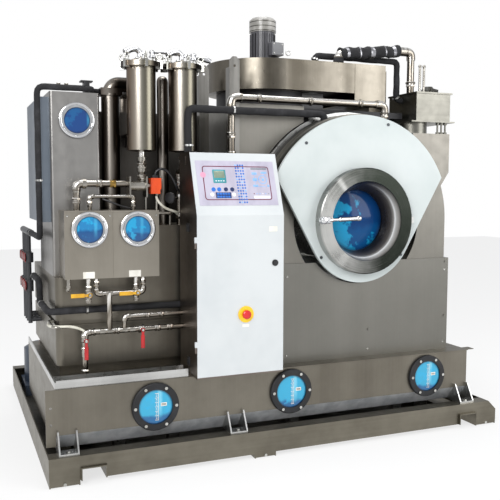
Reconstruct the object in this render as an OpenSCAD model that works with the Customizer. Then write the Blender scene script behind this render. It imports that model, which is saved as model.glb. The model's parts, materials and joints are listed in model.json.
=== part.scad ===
// Industrial dry cleaning machine on a spill tray, front towards -Y, standing on z = 0.
// Lengths are millimetres and angles are degrees.

/* [Spill tray] */
// Width of the tray over its front wall
tray_w = 2790; // [2700:1:3000]
// Depth of the tray over its walls
tray_d = 2092; // [2050:1:2300]
// Height of the tray's top edge
tray_top = 150; // [140:1:170]
// Height of the tray's lower edge over the floor
tray_bottom = 25; // [20:1:40]
// Thickness of the tray's sheet
tray_t = 6; // [4:0.5:8]
// Width of the folded lip along the front and back
tray_lip = 85; // [60:1:90]
// Width of a forklift pocket
pocket_w = 120; // [90:1:150]
// Distance of a forklift pocket's middle from the tray's end
pocket_in = 223; // [223:1:295]
// Width of a base skid
skid_w = 128; // [90:1:130]

/* [Solvent tank] */
// Distance of the tank's left end from the tray's end
tank_in_left = 50; // [45:1:65]
// Distance of the tank's right end from the tray's end
tank_in_right = 166; // [155:1:180]
// Front face of the tank
tank_front = -955; // [-960:1:-950]
// Back face of the tank
tank_back = 330; // [320:1:500]
// Underside of the tank
tank_bottom = 155; // [152:1:170]
// Top of the tank, on which the machine stands
tank_top = 476; // [460:1:500]
// Sheet thickness of the tanks
tank_t = 4; // [3:0.5:5]
// Outer diameter of a tank sight flange
sight_d = 258; // [250:1:264]
// Clear diameter of a tank sight glass
sight_glass_d = 188; // [170:1:190]
// Pitch circle of the sight flange bolts
sight_pcd = 225; // [222:1:228]

/* [Still and separator] */
// Left side of the still
still_left = -1298; // [-1310:1:-1290]
// Front face of the still
still_front = -690; // [-700:1:-685]
// Top of the still's lower half
still_mid = 756; // [730:1:770]
// Top of the still
still_top = 1016; // [1000:1:1040]
// Left side of the separator
sep_left = -1261; // [-1270:1:-1250]
// Width of the separator
sep_w = 511; // [500:1:530]
// Front face of the separator
sep_front = -790; // [-800:1:-780]
// Depth of the separator
sep_d = 188; // [170:1:189]
// Height of the separator
sep_h = 363; // [340:1:380]
// Outer diameter of a chamber sight ring
ring_d = 180; // [170:1:188]
// Clear diameter of a chamber sight glass
ring_glass_d = 141; // [130:1:146]
// Width of the recovery tank
rec_w = 268; // [250:1:270]
// Height of the recovery tank's top
rec_top = 2019; // [1990:1:2040]

/* [Filters] */
// Distance between the two filter axes
filter_pitch = 237; // [234:1:250]
// Axis of the left filter
filter_x = -820; // [-825:1:-815]
// Axis of both filters, front to back
filter_y = -700; // [-705:1:-698]
// Diameter of a filter shell
filter_d = 160; // [150:1:166]
// Underside of a filter shell
filter_low = 1707; // [1690:1:1720]
// Top of a filter shell's flange
filter_high = 2167; // [2150:1:2180]
// Diameter of the filter flanges and lids
flange_d = 222; // [216:1:224]

/* [Drum and door] */
// Height of the drum's axis
drum_z = 1308; // [1300:1:1320]
// Distance of the drum's axis from the middle
drum_x = 465; // [455:1:470]
// Outer radius of the drum's tub
tub_r = 631; // [620:1:633]
// Back of the tub
tub_back = 60; // [40:1:70]
// Space between the tub and the basket
basket_gap = 39; // [26:1:61]
// Depth of the basket
basket_depth = 690; // [600:1:700]
// How much wider than the tub the front casing is, on the radius
casing_gap = 4; // [0:0.5:5]
// Outer radius of the door ring
door_r = 314; // [310:1:320]
// Radius of the opening at the front of the door ring
door_bore_r = 235; // [225:1:240]
// Radius of the door's glass opening
glass_r = 184; // [170:1:190]
// Thickness of the door ring
door_t = 60; // [55:1:64]
// Radius of the loading opening behind the door
mouth_r = 245; // [243:1:250]

/* [Front plate and panels] */
// Front face of the white plate
plate_front = -915; // [-918:1:-910]
// How much smaller than the tub the white plate's upper arc is, on the radius
plate_in = 11; // [3:1:21]
// Radius of the white plate's chin
chin_r = 358; // [350:1:365]
// Height of the white plate's two corners
plate_corner_z = 1568; // [1550:1:1590]
// Front face of the housing panel
panel_front = -725; // [-728:1:-722]
// Front face of the lower panel
lower_front = -873; // [-876:1:-872]
// Top of the lower panel
lower_top = 1062; // [1050:1:1075]
// Height of the housing over the drum's casing
housing_over = 47; // [41:1:49]

/* [Control cabinet] */
// Left side of the cabinet
cab_left = -612; // [-614:1:-608]
// Width of the cabinet
cab_w = 504; // [480:1:508]
// Front face of the cabinet door
cab_front = -1035; // [-1040:1:-1030]
// Height of the bend where the console slopes back
cab_bend = 1355; // [1340:1:1370]
// Height of the cabinet's top
cab_top = 1697; // [1690:1:1710]
// How far the console slopes back
cab_slope = 125; // [110:1:130]
// Diameter of the emergency stop's collar
estop_d = 90; // [80:1:96]

/* [Blower] */
// Axis of the blower, left to right
blower_x = 100; // [96:1:106]
// Axis of the blower, front to back
blower_y = -250; // [-255:1:-245]
// Radius of the blower's scroll
scroll_r = 362; // [355:1:364]
// Height of the black base under the scroll
scroll_base = 110; // [100:1:120]
// Height of the scroll
scroll_h = 184; // [175:1:190]
// Diameter of the motor's cowl
cowl_d = 173; // [165:1:180]
// Height of the blower's motor with its cowl
motor_h = 304; // [286:1:316]

/* [Pipes] */
// Diameter of the thin pipes
pipe_d = 20; // [16:1:22]
// Diameter of the manifold pipe
manifold_d = 24; // [22:1:26]
// Diameter of the bright pipe over the cabinet
riser_d = 37; // [32:1:40]
// Diameter of the insulated lines
foam_d = 46; // [40:1:48]
// Length of a ball valve's lever
lever_l = 100; // [90:1:104]

/* [Hidden] */
$fn = 48;

// Clearances
seat_gap = 0.3;        // between curved faces that face each other
shaft_gap = 0.05;      // running fit of a shaft, on the radius
proud = 16;            // how far the pocket sleeves stand out of the tray's walls

// Colours
steel = [0.50, 0.49, 0.46];
bright_steel = [0.78, 0.78, 0.78];
dark_steel = [0.22, 0.22, 0.23];
white_paint = [0.90, 0.92, 0.93];
black_rubber = [0.08, 0.08, 0.09];
blue_glass = [0.05, 0.42, 0.70];

// Spill tray
tray_x = tray_w / 2;
tray_front = -1046;                           // datum of all depths
tray_back = tray_front + tray_d;
tray_right = tray_x - 57;                     // outer face of the right end wall
floor_top = tray_bottom + tray_t;
pocket_x = tray_x - pocket_in;
pocket_h = 85;
pocket_wall = 6;
end_chamfer = 57;
skids = [[-tray_x + 1, skid_w + 25], [-281, skid_w], [tray_x - skid_w - 26, skid_w + 25]];

// Solvent tank
tank_left = -tray_x + tank_in_left;
tank_right = tray_x - tank_in_right;
tank_bend = 238;                              // height where the front leans back
tank_slope_y = 60;
sights = [for (x = [tank_left + 520, -22, tank_right - 312]) [x, 335]];
sight_t = 20;
sight_seat = 12;
sight_seat_r = sight_glass_d / 2 + 10;
bolt_r = 5;
bolt_head_r = 9;
bolt_head_t = 6;
bolt_shank = 34;
bracket_xs = [[tank_left + 3, tank_left + 97], [-420, -326], [tank_right - 101, tank_right - 7]];
bracket_t = 8;
bracket_top = 262;
bracket_front = tray_front + 14;
bracket_base = 12;
leg_w = 60;

// Gutter on the tank
gutter_x = [-1339, -635];
gutter_y = [tank_front + 10, tank_front + 105];
gutter_h = 44;
gutter_t = 3;

// Still and separator
still_right = -385;
still_back = 300;
still_plinth = 57;
still_groove = 24;
still_round = 40;
hood_top = 1291;
hood_back = -370;
sep_bottom = still_top;
sep_top = sep_bottom + sep_h;
sep_back = sep_front + sep_d;
sep_wall = sep_left + sep_w / 2;
chamber_z = sep_top - 100;
chambers = [[-1130, chamber_z, sep_front], [-870, chamber_z, sep_front]];
rec_left = still_left;
rec_right = rec_left + rec_w;
rec_front = sep_back + 2;
rec_back = -70;
rec_ring = [-1156, rec_top - 153, rec_front];
ring_t = 16;
ring_seat = 8;
ring_seat_r = ring_glass_d / 2 + 7;
rings = concat(chambers, [rec_ring]);

// Casings behind
side_left = -1350;
side_z = [1312, 1991];
side_y = [-560, 40];
cool_x = [rec_right + 2, still_right];
cool_y = [-310, tank_back];
cool_top = 1950;
column = [-945, -480];
column_r = 52;
column_top = 2031;

// Filters
filters = [for (i = [0, 1]) filter_x + i * filter_pitch];
filter_t = 3;
lid_t = 23;
clamp_n = 6;
clamp_in = flange_d / 2 + 1;
clamp_out = clamp_in + 12;
clamp_w = 16;
filter_flange_t = 12;
filter_dish = 8;                              // height of the dished end under a shell
filter_foot = filter_low - filter_dish;

// Pipework
pipe_r = pipe_d / 2;
manifold_r = manifold_d / 2;
riser_r = riser_d / 2;
riser_foot = [700, -766, drum_z + tub_r + casing_gap - 18];   // on the drum's casing
riser_top = riser_foot[2] + 90;
foam_r = foam_d / 2;
pipe_y = -772;                                // plane of the lower pipes
upper_y = filter_y;                           // plane of the upper pipes
upper_z = 1523;
drain_xs = [-1136, -878];
drain_z = 931;
tee_x = -1026;
manifold_z = 725;
manifold_x = -1160;
valve_r = 20;
stem_r = 5;
stem_len = 24;
lever_y = pipe_y - valve_r - stem_len + 6;    // back face of the lever plates
lever_t = 5;
lever_w = 22;
red_valves = [[manifold_x, manifold_z - 40], [-852, manifold_z]];
yellow_valves = [for (x = drain_xs) [x, drain_z]];

// Posts, housing and casing of the drum
casing_r = tub_r + casing_gap;
basket_r = tub_r - basket_gap;
plate_r = tub_r - plate_in;
housing_top = drum_z + casing_r + housing_over;
post_w = 62;
post_t = 6;
post_top = 2250;
posts = [[-313, panel_front - post_t], [-372, -366]];
housing_left = -245;
housing_right = 165;
housing_back = 200;
housing_t = 4;
tub_clear = casing_r + 24;
casing_front = lower_front + 8;
casing_hole_r = 430;
casing_left = cab_left + cab_w + 2;           // beside the cabinet
band_r = [casing_r + 2, casing_r + 20];
band_w = 16;
latches = [112, 62];
tub_t = 5;
tub_face_hole = mouth_r + 5;
neck_t = 5;
mouth_rim_r = 298;
seal_t = 5;
seat_y = plate_front + seal_t;
cradle_ys = [-640, -180];
cradle_w = 290;
plate_t = 3;
plate_rim = 22;
plate_screws = [[round(drum_x - 0.599 * tub_r), round(drum_z + 0.7147 * tub_r)],
    [round(drum_x + 0.2678 * tub_r), round(drum_z + 0.9081 * tub_r)],
    [drum_x - 275, drum_z - 211], [drum_x + 275, drum_z - 211]];
stud_r = 8;
lower_x = [drum_x - casing_r + 132, drum_x + casing_r + 30];
duct_left = drum_x + 480;
duct_right = drum_x + casing_r + 129;
duct_top = drum_z + casing_r - 88;
duct_low = 1607;
duct_foot = [1124, 1452];
chamber_low = housing_top - 38;

// Drive at the back of the drum
shaft_r = 40;
bearing_back = 220;
pulley_y = [240, 290];
pulley_r = 330;
motor_axis = [900, 600];
motor_pulley_r = 70;
motor_r = 104;
motor_y = [-100, 215];
motor_shaft_r = 19;
belt_t = 8;
belt_w = 34;
basket_front = panel_front + 25;
basket_t = 4;
basket_mouth_r = 262;

// Door
door_back = plate_front;
door_front = door_back - door_t;
glass_y = -840;                               // narrow end of the funnel round the glass
glass_seat = 14;
glass_t = 10;
hinge = [drum_x + door_r + 12, door_back - 15];
hinge_r = 9;
hinge_pin_r = 4;
hinge_h = 40;
handle = [162, drum_z + 10];
handle_len = 245;
handle_boss_r = 20;
handle_t = 14;

// Cabinet
cab_right = cab_left + cab_w;
cab_back = panel_front - post_t;
cab_bottom = tank_top;
cab_door_t = 3;
cab_t = 3;
cab_hinge = [cab_left - 7, cab_front + 6];
cab_hinge_r = 6;
cab_hinge_zs = [620, 1180];
cab_hinge_h = 30;
cab_door_bottom = cab_bottom + 9;
cab_ledge = cab_top - 5;
console_angle = atan2(cab_slope, cab_ledge - cab_bend);
overlay_w = 456;
overlay_l = 256;
overlay_t = 1.5;
overlay_start = 56;                           // up the slope from the bend
estop = [-334, 815];
estop_head_r = 24;
estop_stem_r = 11;
estop_collar_t = 5;
estop_gap = 6;
estop_head_t = 10;
estop_crown = 5;
lock = [-160, 1091];
lock_r = 15;
slots = [[-836, 1651], [-877, 1293], [-872, 551]];

// Blower
motor_flange_r = 100;
scroll_low = housing_top + scroll_base;
scroll_high = scroll_low + scroll_h;
cowl_top = scroll_high + motor_h;
base_r = 300;
inlet_r = 180;
scroll_t = 4;
scroll_front = blower_y - scroll_r;
scroll_back = -100;
seam_x = 579;
duct_end = 805;
duct_bottom = housing_top + 50;
riser_box = [duct_end, 935];
impeller_r = 280;
impeller_z = [scroll_low + 22, scroll_high - 24];
motor_base = scroll_high;
rotor_r = 12;

// Top box over the right duct
box_x = [975, 1236];
box_y = [-715, -400];
box_z = [duct_top + 81, duct_top + 255];
neck_xy = [1030, -592];
neck_r = 94;
box_lip = 10;

function unit(v) = v / norm(v);
function turn_of(p, i) = acos(unit(p[i] - p[i - 1]) * unit(p[i + 1] - p[i]));
function trim_of(p, i, bend) =
    (i <= 0 || i >= len(p) - 1) ? 0 : bend * tan(turn_of(p, i) / 2);

module block(lo, hi) { translate(lo) cube(hi - lo); }
module rod_x(p, r, l) { translate(p) rotate([0, 90, 0]) cylinder(r = r, h = l); }
module rod_y(p, r, l) { translate(p) rotate([-90, 0, 0]) cylinder(r = r, h = l); }
module rod_z(p, r, l) { translate(p) cylinder(r = r, h = l); }

// Ring about a line along Y, from p towards +Y
module ring_y(p, r_out, r_in, l) {
    translate(p) rotate([-90, 0, 0]) difference() {
        cylinder(r = r_out, h = l);
        translate([0, 0, -1]) cylinder(r = r_in, h = l + 2);
    }
}

// Solid with a (y, z) outline, drawn from x0 to x1
module along_x(x0, x1, outline) {
    translate([x0, 0, 0]) rotate([90, 0, 90]) linear_extrude(height = x1 - x0) polygon(outline);
}

// Solid with an (x, z) outline, drawn from y0 to y1
module along_y(y0, y1) {
    translate([0, y1, 0]) rotate([90, 0, 0]) linear_extrude(height = y1 - y0) children();
}

// Round bar from point a to point b
module bar(a, b, r) {
    d = b - a;
    translate(a) rotate([0, acos(d[2] / norm(d)), atan2(d[1], d[0])]) cylinder(r = r, h = norm(d));
}

// Bend of radius bend at corner i of the route p
module elbow(p, i, r, bend) {
    d1 = unit(p[i] - p[i - 1]);
    d2 = unit(p[i + 1] - p[i]);
    n = unit(d2 - (d1 * d2) * d1);
    c = p[i] - trim_of(p, i, bend) * d1 + bend * n;
    z = cross(d1, n);
    multmatrix([[-n[0], d1[0], z[0], c[0]], [-n[1], d1[1], z[1], c[1]],
                [-n[2], d1[2], z[2], c[2]], [0, 0, 0, 1]])
        rotate_extrude(angle = turn_of(p, i)) translate([bend, 0]) circle(r = r);
}

// Pipe along the route p, with bends, and with sleeves at the bends when sleeve > 0
module pipe(p, r, bend, sleeve = 0) {
    for (i = [0 : len(p) - 2]) {
        d = unit(p[i + 1] - p[i]);
        a = p[i] + trim_of(p, i, bend) * d;
        b = p[i + 1] - trim_of(p, i + 1, bend) * d;
        bar(a, b, r);
        if (sleeve > 0 && i > 0) bar(a, a + sleeve * d, r * 1.28);
        if (sleeve > 0 && i < len(p) - 2) bar(b - sleeve * d, b, r * 1.28);
    }
    for (i = [1 : 1 : len(p) - 2]) elbow(p, i, r, bend);
}

// Hexagon bolt with its head's underside at p, facing -Y, shank towards +Y
module bolt_y(p, shank) {
    translate(p) rotate([90, 0, 0]) cylinder(r = bolt_head_r, h = bolt_head_t, $fn = 6);
    rod_y(p, bolt_r, shank);
}

// ---------------------------------------------------------------- tray and tank

module skid(x, w) {
    difference() {
        block([x, tray_front, 0], [x + w, tray_back, tray_bottom]);
        block([x + pocket_wall, tray_front - 1, -1],
              [x + w - pocket_wall, tray_back + 1, tray_bottom - pocket_wall]);
    }
    for (y = [tray_front, tray_back - pocket_wall])
        block([x, y, 4], [x + w, y + pocket_wall, tray_bottom]);
}

module spill_tray() {
    end_inner = tray_x - tray_t;
    color([0.52, 0.49, 0.42]) difference() {
        union() {
            block([-tray_x, tray_front, tray_bottom], [tray_right, tray_back, floor_top]);
            for (s = [-1, 1]) {
                wall = s < 0 ? [tray_front, tray_front + tray_t] : [tray_back - tray_t, tray_back];
                along_y(wall[0], wall[1]) polygon([[-tray_x, tray_bottom], [tray_x, tray_bottom],
                    [tray_x, tray_top - end_chamfer], [tray_x - end_chamfer, tray_top],
                    [-tray_x, tray_top]]);
                lip = s < 0 ? [tray_front, tray_front + tray_lip] : [tray_back - tray_lip, tray_back];
                block([-tray_x, lip[0], tray_top - tray_t], [tray_right, lip[1], tray_top]);
            }
            block([-tray_x, tray_front, tray_bottom], [-end_inner, tray_back, tray_top]);
            block([tray_right - tray_t, tray_front, tray_bottom], [tray_right, tray_back, tray_top]);
            for (s = [-1, 1])
                block([s * pocket_x - pocket_w / 2 - pocket_wall, tray_front - proud, tray_bottom],
                      [s * pocket_x + pocket_w / 2 + pocket_wall, tray_back + proud,
                       pocket_h + pocket_wall]);
            for (s = skids) skid(s[0], s[1]);
        }
        for (s = [-1, 1])
            block([s * pocket_x - pocket_w / 2, tray_front - proud - 1, -1],
                  [s * pocket_x + pocket_w / 2, tray_back + proud + 1, pocket_h]);
        for (y = [tray_front + 60, tray_back - 60], x = [-tray_x + 52, tray_x - 52])
            rod_z([x, y, -1], bolt_r + 3, tray_bottom + tray_t + 2);
        for (s = skids, y = [tray_front - 1, tray_back - pocket_wall - 1])
            rod_y([s[0] + s[1] / 2, y, tray_bottom / 2 + 1], bolt_r + seat_gap, pocket_wall + 2);
        for (b = bracket_xs)
            rod_z([(b[0] + b[1] + bracket_t) / 2, bracket_front + 22, tray_top - tray_t - 1],
                  bolt_r + seat_gap, tray_t + 2);
    }
}

module flange_bolt_places(p) {
    for (a = [0 : 60 : 300]) translate([p[0] + sight_pcd / 2 * cos(a), 0,
        p[1] + sight_pcd / 2 * sin(a)]) children();
}

// Swing clamps with eye nuts round the filters' lids
module lid_clamps() {
    low = filter_high - filter_flange_t;
    high = filter_high + lid_t - 8;
    color(bright_steel) for (x = filters, k = [0 : clamp_n - 1])
        translate([x, filter_y, 0]) rotate([0, 0, 30 + k * 360 / clamp_n]) {
            block([clamp_in, -clamp_w / 2, low - 8], [clamp_out, clamp_w / 2, high + 8]);
            block([clamp_in - 22, -clamp_w / 2, high], [clamp_in + 1, clamp_w / 2, high + 8]);
            block([clamp_in - 22, -clamp_w / 2, low - 8], [clamp_in + 1, clamp_w / 2, low]);
            translate([clamp_in - 8, 0, high + 8]) {
                cylinder(r = 9, h = 8);
                translate([0, 0, 22]) rotate([90, 0, 0]) rotate_extrude() translate([14, 0]) circle(r = 5);
            }
        }
}

module hex_bolts() {
    lid_clamps();
    color(bright_steel) {
        for (p = sights) flange_bolt_places(p) bolt_y([0, tank_front - sight_t, 0], bolt_shank);
        for (s = skids) {
            x = s[0] + s[1] / 2;
            bolt_y([x, tray_front, tray_bottom / 2 + 1], pocket_wall + 6);
            translate([x, tray_back, tray_bottom / 2 + 1]) mirror([0, 1, 0])
                bolt_y([0, 0, 0], pocket_wall + 6);
        }
        for (s = plate_screws) rod_y([s[0], plate_front + plate_t, s[1]], stud_r - seat_gap,
            panel_front - plate_front - plate_t);
        for (b = bracket_xs) {
            p = [(b[0] + b[1] + bracket_t) / 2, bracket_front + 22, tray_top + bracket_base];
            rod_z(p - [0, 0, bracket_base + tray_t + 8], bolt_r, bracket_base + tray_t + 9);
            translate(p) cylinder(r = bolt_head_r + 3, h = 9, $fn = 6);
        }
    }
}

module solvent_tank() {
    outer = [[tank_front, tank_top], [tank_front, tank_bend],
        [tank_front + tank_slope_y, tank_bottom], [tank_back, tank_bottom], [tank_back, tank_top]];
    t = tank_t;
    inner = [[tank_front + t, tank_top - t], [tank_front + t, tank_bend + 1],
        [tank_front + tank_slope_y + t, tank_bottom + t], [tank_back - t, tank_bottom + t],
        [tank_back - t, tank_top - t]];
    walls = [(sights[0][0] + sights[1][0]) / 2, (sights[1][0] + sights[2][0]) / 2];
    color(steel) {
        difference() {
            along_x(tank_left, tank_right, outer);
            along_x(tank_left + t, walls[0], inner);
            along_x(walls[0] + t, walls[1], inner);
            along_x(walls[1] + t, tank_right - t, inner);
            for (p = sights) rod_y([p[0], tank_front - 1, p[1]], sight_glass_d / 2, t + 2);
            for (p = sights) flange_bolt_places(p)
                rod_y([0, tank_front - 1, 0], bolt_r + seat_gap, bolt_shank - sight_t + 2);
        }
        difference() {
            block([-tray_x, tank_front, 181], [tank_left, tank_front + t, tank_top]);
            for (z = [295, 382]) rod_y([tank_left - 25, tank_front - 1, z], 7, t + 2);
        }
        block([tank_right, tank_front, tank_top - t], [tank_right + 54, tank_front + 55, tank_top]);
        block([-612, tank_front - 12, tank_top - t], [tank_right, tank_front, tank_top]);
    }
}

module tank_brackets() {
    slope = tank_slope_y / (tank_bend - tank_bottom);
    low = max(tray_top, tank_bottom);
    inner_edge = tank_front + (tank_bend - low) * slope;
    gusset = [[bracket_front, tray_top], [bracket_front, tray_top + bracket_base],
        [tank_front - 20, bracket_top], [tank_front, bracket_top], [tank_front, tank_bend],
        [inner_edge, low], [inner_edge, tray_top]];
    color(bright_steel) for (b = bracket_xs) {
        for (x = b) along_x(x, x + bracket_t, gusset);
        difference() {
            block([b[0] + bracket_t, bracket_front, tray_top],
                  [b[1], tray_front + tray_lip - 2, tray_top + bracket_base]);
            rod_z([(b[0] + b[1] + bracket_t) / 2, bracket_front + 22, tray_top - 1],
                  bolt_r + seat_gap, bracket_base + 2);
        }
    }
    color(dark_steel) for (x = [-1010, -700, 60, tank_right - 429, tank_right - 229], y = [-780, tank_back - 150])
        block([x, y, floor_top], [x + leg_w, y + leg_w, tank_bottom]);
}

module sight_flanges() {
    color(black_rubber) for (p = sights) difference() {
        translate([p[0], tank_front - sight_t, p[1]]) rotate([-90, 0, 0]) union() {
            translate([0, 0, 4]) cylinder(r = sight_d / 2, h = sight_t - 4);
            cylinder(r1 = sight_d / 2 - 4, r2 = sight_d / 2, h = 4);
        }
        rod_y([p[0], tank_front - sight_t - 1, p[1]], sight_glass_d / 2, sight_t + 2);
        rod_y([p[0], tank_front - sight_seat, p[1]], sight_seat_r + seat_gap, sight_seat + 1);
        flange_bolt_places(p) rod_y([0, tank_front - sight_t - 1, 0], bolt_r + seat_gap, sight_t + 2);
    }
}

module sight_windows() {
    color(blue_glass) {
        for (p = sights) rod_y([p[0], tank_front - sight_seat, p[1]], sight_seat_r, sight_seat);
        for (p = rings) rod_y([p[0], p[2] - ring_seat, p[1]], ring_seat_r, ring_seat);
    }
}

module tank_gutter() {
    t = gutter_t;
    z = tank_top;
    y = gutter_y;
    channel = [[y[0], z], [y[1], z], [y[1], z + gutter_h], [y[1] - t, z + gutter_h], [y[1] - t, z + t],
        [y[0] + t, z + t], [y[0] + t, z + gutter_h], [y[0], z + gutter_h]];
    color(bright_steel) {
        along_x(gutter_x[0], gutter_x[1], channel);
        block([gutter_x[0] - 6, y[0], z], [gutter_x[0], tank_back, z + gutter_h - 10]);
    }
}

// ---------------------------------------------------------------- still, separator, filters

// Box with its two front upright edges rounded
module soft_box(lo, hi, r) {
    translate([0, 0, lo[2]]) linear_extrude(height = hi[2] - lo[2]) {
        translate([lo[0] + r, lo[1] + r]) circle(r = r);
        translate([hi[0] - r, lo[1] + r]) circle(r = r);
        translate([lo[0] + r, lo[1]]) square([hi[0] - lo[0] - 2 * r, hi[1] - lo[1]]);
        translate([lo[0], lo[1] + r]) square([hi[0] - lo[0], hi[1] - lo[1] - r]);
    }
}

module still_vessel() {
    lo = [still_left, still_front];
    hi = [still_right, still_back];
    in = 20;
    z0 = tank_top + still_plinth;
    color(steel) {
        block([lo[0] + in, lo[1] + 50, tank_top], [hi[0] - in, hi[1] - in, z0]);
        soft_box([lo[0], lo[1], z0], [hi[0], hi[1], still_mid], still_round);
        block([lo[0] + in, lo[1] + in, still_mid],
              [hi[0] - in, hi[1] - in, still_mid + still_groove]);
        soft_box([lo[0], lo[1], still_mid + still_groove], [hi[0], hi[1], still_top], still_round);
        block([sep_left + sep_w + 4, still_front, still_top], [still_right, hood_back, hood_top]);
    }
}

module separator_tank() {
    t = tank_t;
    color([0.56, 0.55, 0.53]) difference() {
        union() {
            block([sep_left, sep_front, sep_bottom], [sep_left + sep_w, sep_back, sep_top]);
            block([sep_left, sep_front - 4, sep_top - 8], [sep_left + sep_w, sep_front, sep_top]);
        }
        block([sep_left + t, sep_front + t, sep_bottom + t],
              [sep_wall - t / 2, sep_back - t, sep_top - t]);
        block([sep_wall + t / 2, sep_front + t, sep_bottom + t],
              [sep_left + sep_w - t, sep_back - t, sep_top - t]);
        block([sep_wall - 1.5, sep_front - 1, sep_bottom - 1], [sep_wall + 1.5, sep_front + 2, sep_top + 1]);
        for (p = chambers) rod_y([p[0], sep_front - 1, p[1]], ring_glass_d / 2, t + 2);
    }
}

module chamber_rings() {
    nut_r = 6;
    pitch_r = (ring_d + ring_glass_d) / 4;
    color(bright_steel) for (p = rings) {
        front = p[2] - ring_t;
        difference() {
            union() {
                rod_y([p[0], front, p[1]], ring_d / 2, ring_t);
                for (a = [30 : 60 : 330])
                    rod_y([p[0] + pitch_r * cos(a), front - 6, p[1] + pitch_r * sin(a)], nut_r, 10);
            }
            rod_y([p[0], front - 7, p[1]], ring_glass_d / 2, ring_t + 8);
            rod_y([p[0], p[2] - ring_seat, p[1]], ring_seat_r + seat_gap, ring_seat + 1);
        }
    }
}

module recovery_tank() {
    t = tank_t;
    color(steel) difference() {
        soft_box([rec_left, rec_front, still_top], [rec_right, rec_back, rec_top], 14);
        block([rec_left + 14, rec_front + t, still_top + t], [rec_right - 14, rec_back - t, rec_top - t]);
        rod_y([rec_ring[0], rec_front - 1, rec_ring[1]], ring_glass_d / 2, t + 2);
    }
}

module side_casing() {
    color([0.46, 0.50, 0.47])
        block([side_left, side_y[0], side_z[0]], [rec_left, side_y[1], side_z[1]]);
}

module cooling_casing() {
    t = 4;
    color(dark_steel) difference() {
        block([cool_x[0], cool_y[0], still_top], [cool_x[1], cool_y[1], cool_top]);
        block([cool_x[0] + t, cool_y[0] + t, still_top + t], [cool_x[1] - t, cool_y[1] - t, cool_top - t]);
        for (i = [0 : 8]) block([cool_x[0] + 120, cool_y[1] - t - 1, 1180 + i * 70],
                                [cool_x[1] - 120, cool_y[1] + 1, 1205 + i * 70]);
    }
    color(dark_steel) block([cool_x[0] + 40, still_back, tank_top], [cool_x[1] - 40, cool_y[1], still_top]);
}

module cooler_column() {
    top = column_top + 57;
    route = [[column[0], column[1], column_top], [column[0], column[1], top],
        [column[0] + 145, column[1], top], [column[0] + 145, -180, top],
        [column[0] + 145, -180, cool_top]];
    color([0.56, 0.52, 0.49]) rod_z([column[0], column[1], still_top], column_r, column_top - still_top);
    color(bright_steel) {
        rod_z([column[0], column[1], column_top - 12], column_r + 10, 12);
        pipe(route, 42, 50);
        block([column[0] - 64, column[1] - 58, rec_top + 2],
              [column[0] + 58, column[1] + 58, rec_top + 42]);
    }
}

module filter_housings() {
    r = filter_d / 2;
    for (x = filters) {
        color([0.60, 0.57, 0.54]) translate([x, filter_y, 0]) difference() {
            union() {
                translate([0, 0, filter_low]) cylinder(r = r, h = filter_high - filter_low);
                translate([0, 0, filter_high - filter_flange_t])
                    cylinder(r = flange_d / 2, h = filter_flange_t);
                translate([0, 0, filter_foot]) cylinder(r1 = r / 2, r2 = r - 6, h = filter_dish);
                block([-26, r - 8, 1800], [26, cool_y[0] - filter_y, 1812]);
                block([-5, r - 8, 1740], [5, cool_y[0] - filter_y, 1806]);
            }
            translate([0, 0, filter_low + filter_t])
                cylinder(r = r - filter_t, h = filter_high - filter_low);
        }
    }
}

module filter_lids() {
    color(bright_steel) for (x = filters) translate([x, filter_y, filter_high]) {
        cylinder(r = flange_d / 2, h = lid_t - 8);
        translate([0, 0, lid_t - 8]) cylinder(r1 = flange_d / 2 - 26, r2 = 40, h = 20);
        rod_z([0, 0, lid_t], 7, 26);
    }
}

module filter_cartridges() {
    color([0.85, 0.83, 0.78]) for (x = filters) translate([x, filter_y, filter_low + filter_t])
        difference() {
            cylinder(r = filter_d / 2 - 18, h = filter_high - filter_low - filter_t);
            translate([0, 0, 8]) cylinder(r = 22, h = filter_high - filter_low);
        }
}

// ---------------------------------------------------------------- pipework

module upper_pipes() {
    y = upper_y;
    plates = [-895, -802];
    body_z = upper_z - 10;
    color(bright_steel) {
        pipe([[-1180, y, sep_top], [-1180, y, upper_z], [plates[0], y, upper_z]], 16, 26, 22);
        rod_x([-1150, y, upper_z], 27, 22);
        for (x = plates) block([x - 4, y - 38, body_z - 64], [x + 4, y + 38, body_z + 50]);
        rod_x([plates[0], y, body_z], 28, plates[1] - plates[0]);
        rod_z([filter_x, y, body_z + 20], 17, filter_foot - body_z - 20);
        for (z = [1590, 1650]) rod_z([filter_x, y, z], 26, 20);
        rod_x([plates[1], y, body_z], 12, 26);
        pipe([[-1110, y, sep_top], [-1110, y, sep_top + 74], [-870, y, sep_top + 74],
              [-870, y, sep_top]], 9, 14, 14);
        block([plates[1] - 4, y - 10, sep_top], [plates[1] + 4, y + 10, body_z - 60]);
        pipe([[filters[1], y, filter_foot], [filters[1], y, 1600], [filters[1], -630, 1600],
              [filters[1], -630, hood_top]], 17, 26, 20);
    }
    color([0.85, 0.84, 0.80]) pipe([[-738, y, body_z - 45], [-738, y, 1360], [-650, y, 1360],
        [-650, -660, 1360], [-650, -660, hood_top]], 8, 18);
}

module solenoid_coil() {
    z = upper_z - 10;
    color([0.95, 0.32, 0.08]) difference() {
        block([-776, upper_y - 30, z - 45], [-718, upper_y + 30, z + 42]);
        block([-724, upper_y - 31, z - 46], [-717, upper_y + 31, z - 20]);
    }
}

// Ball valve body with its stem towards the front
module valve_body(x, z) {
    translate([x, pipe_y, z]) sphere(r = valve_r);
    rod_y([x, pipe_y - valve_r - stem_len, z], stem_r, valve_r + stem_len);
    rod_y([x, pipe_y - valve_r - 8, z], stem_r + 5, 14);
}

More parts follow.
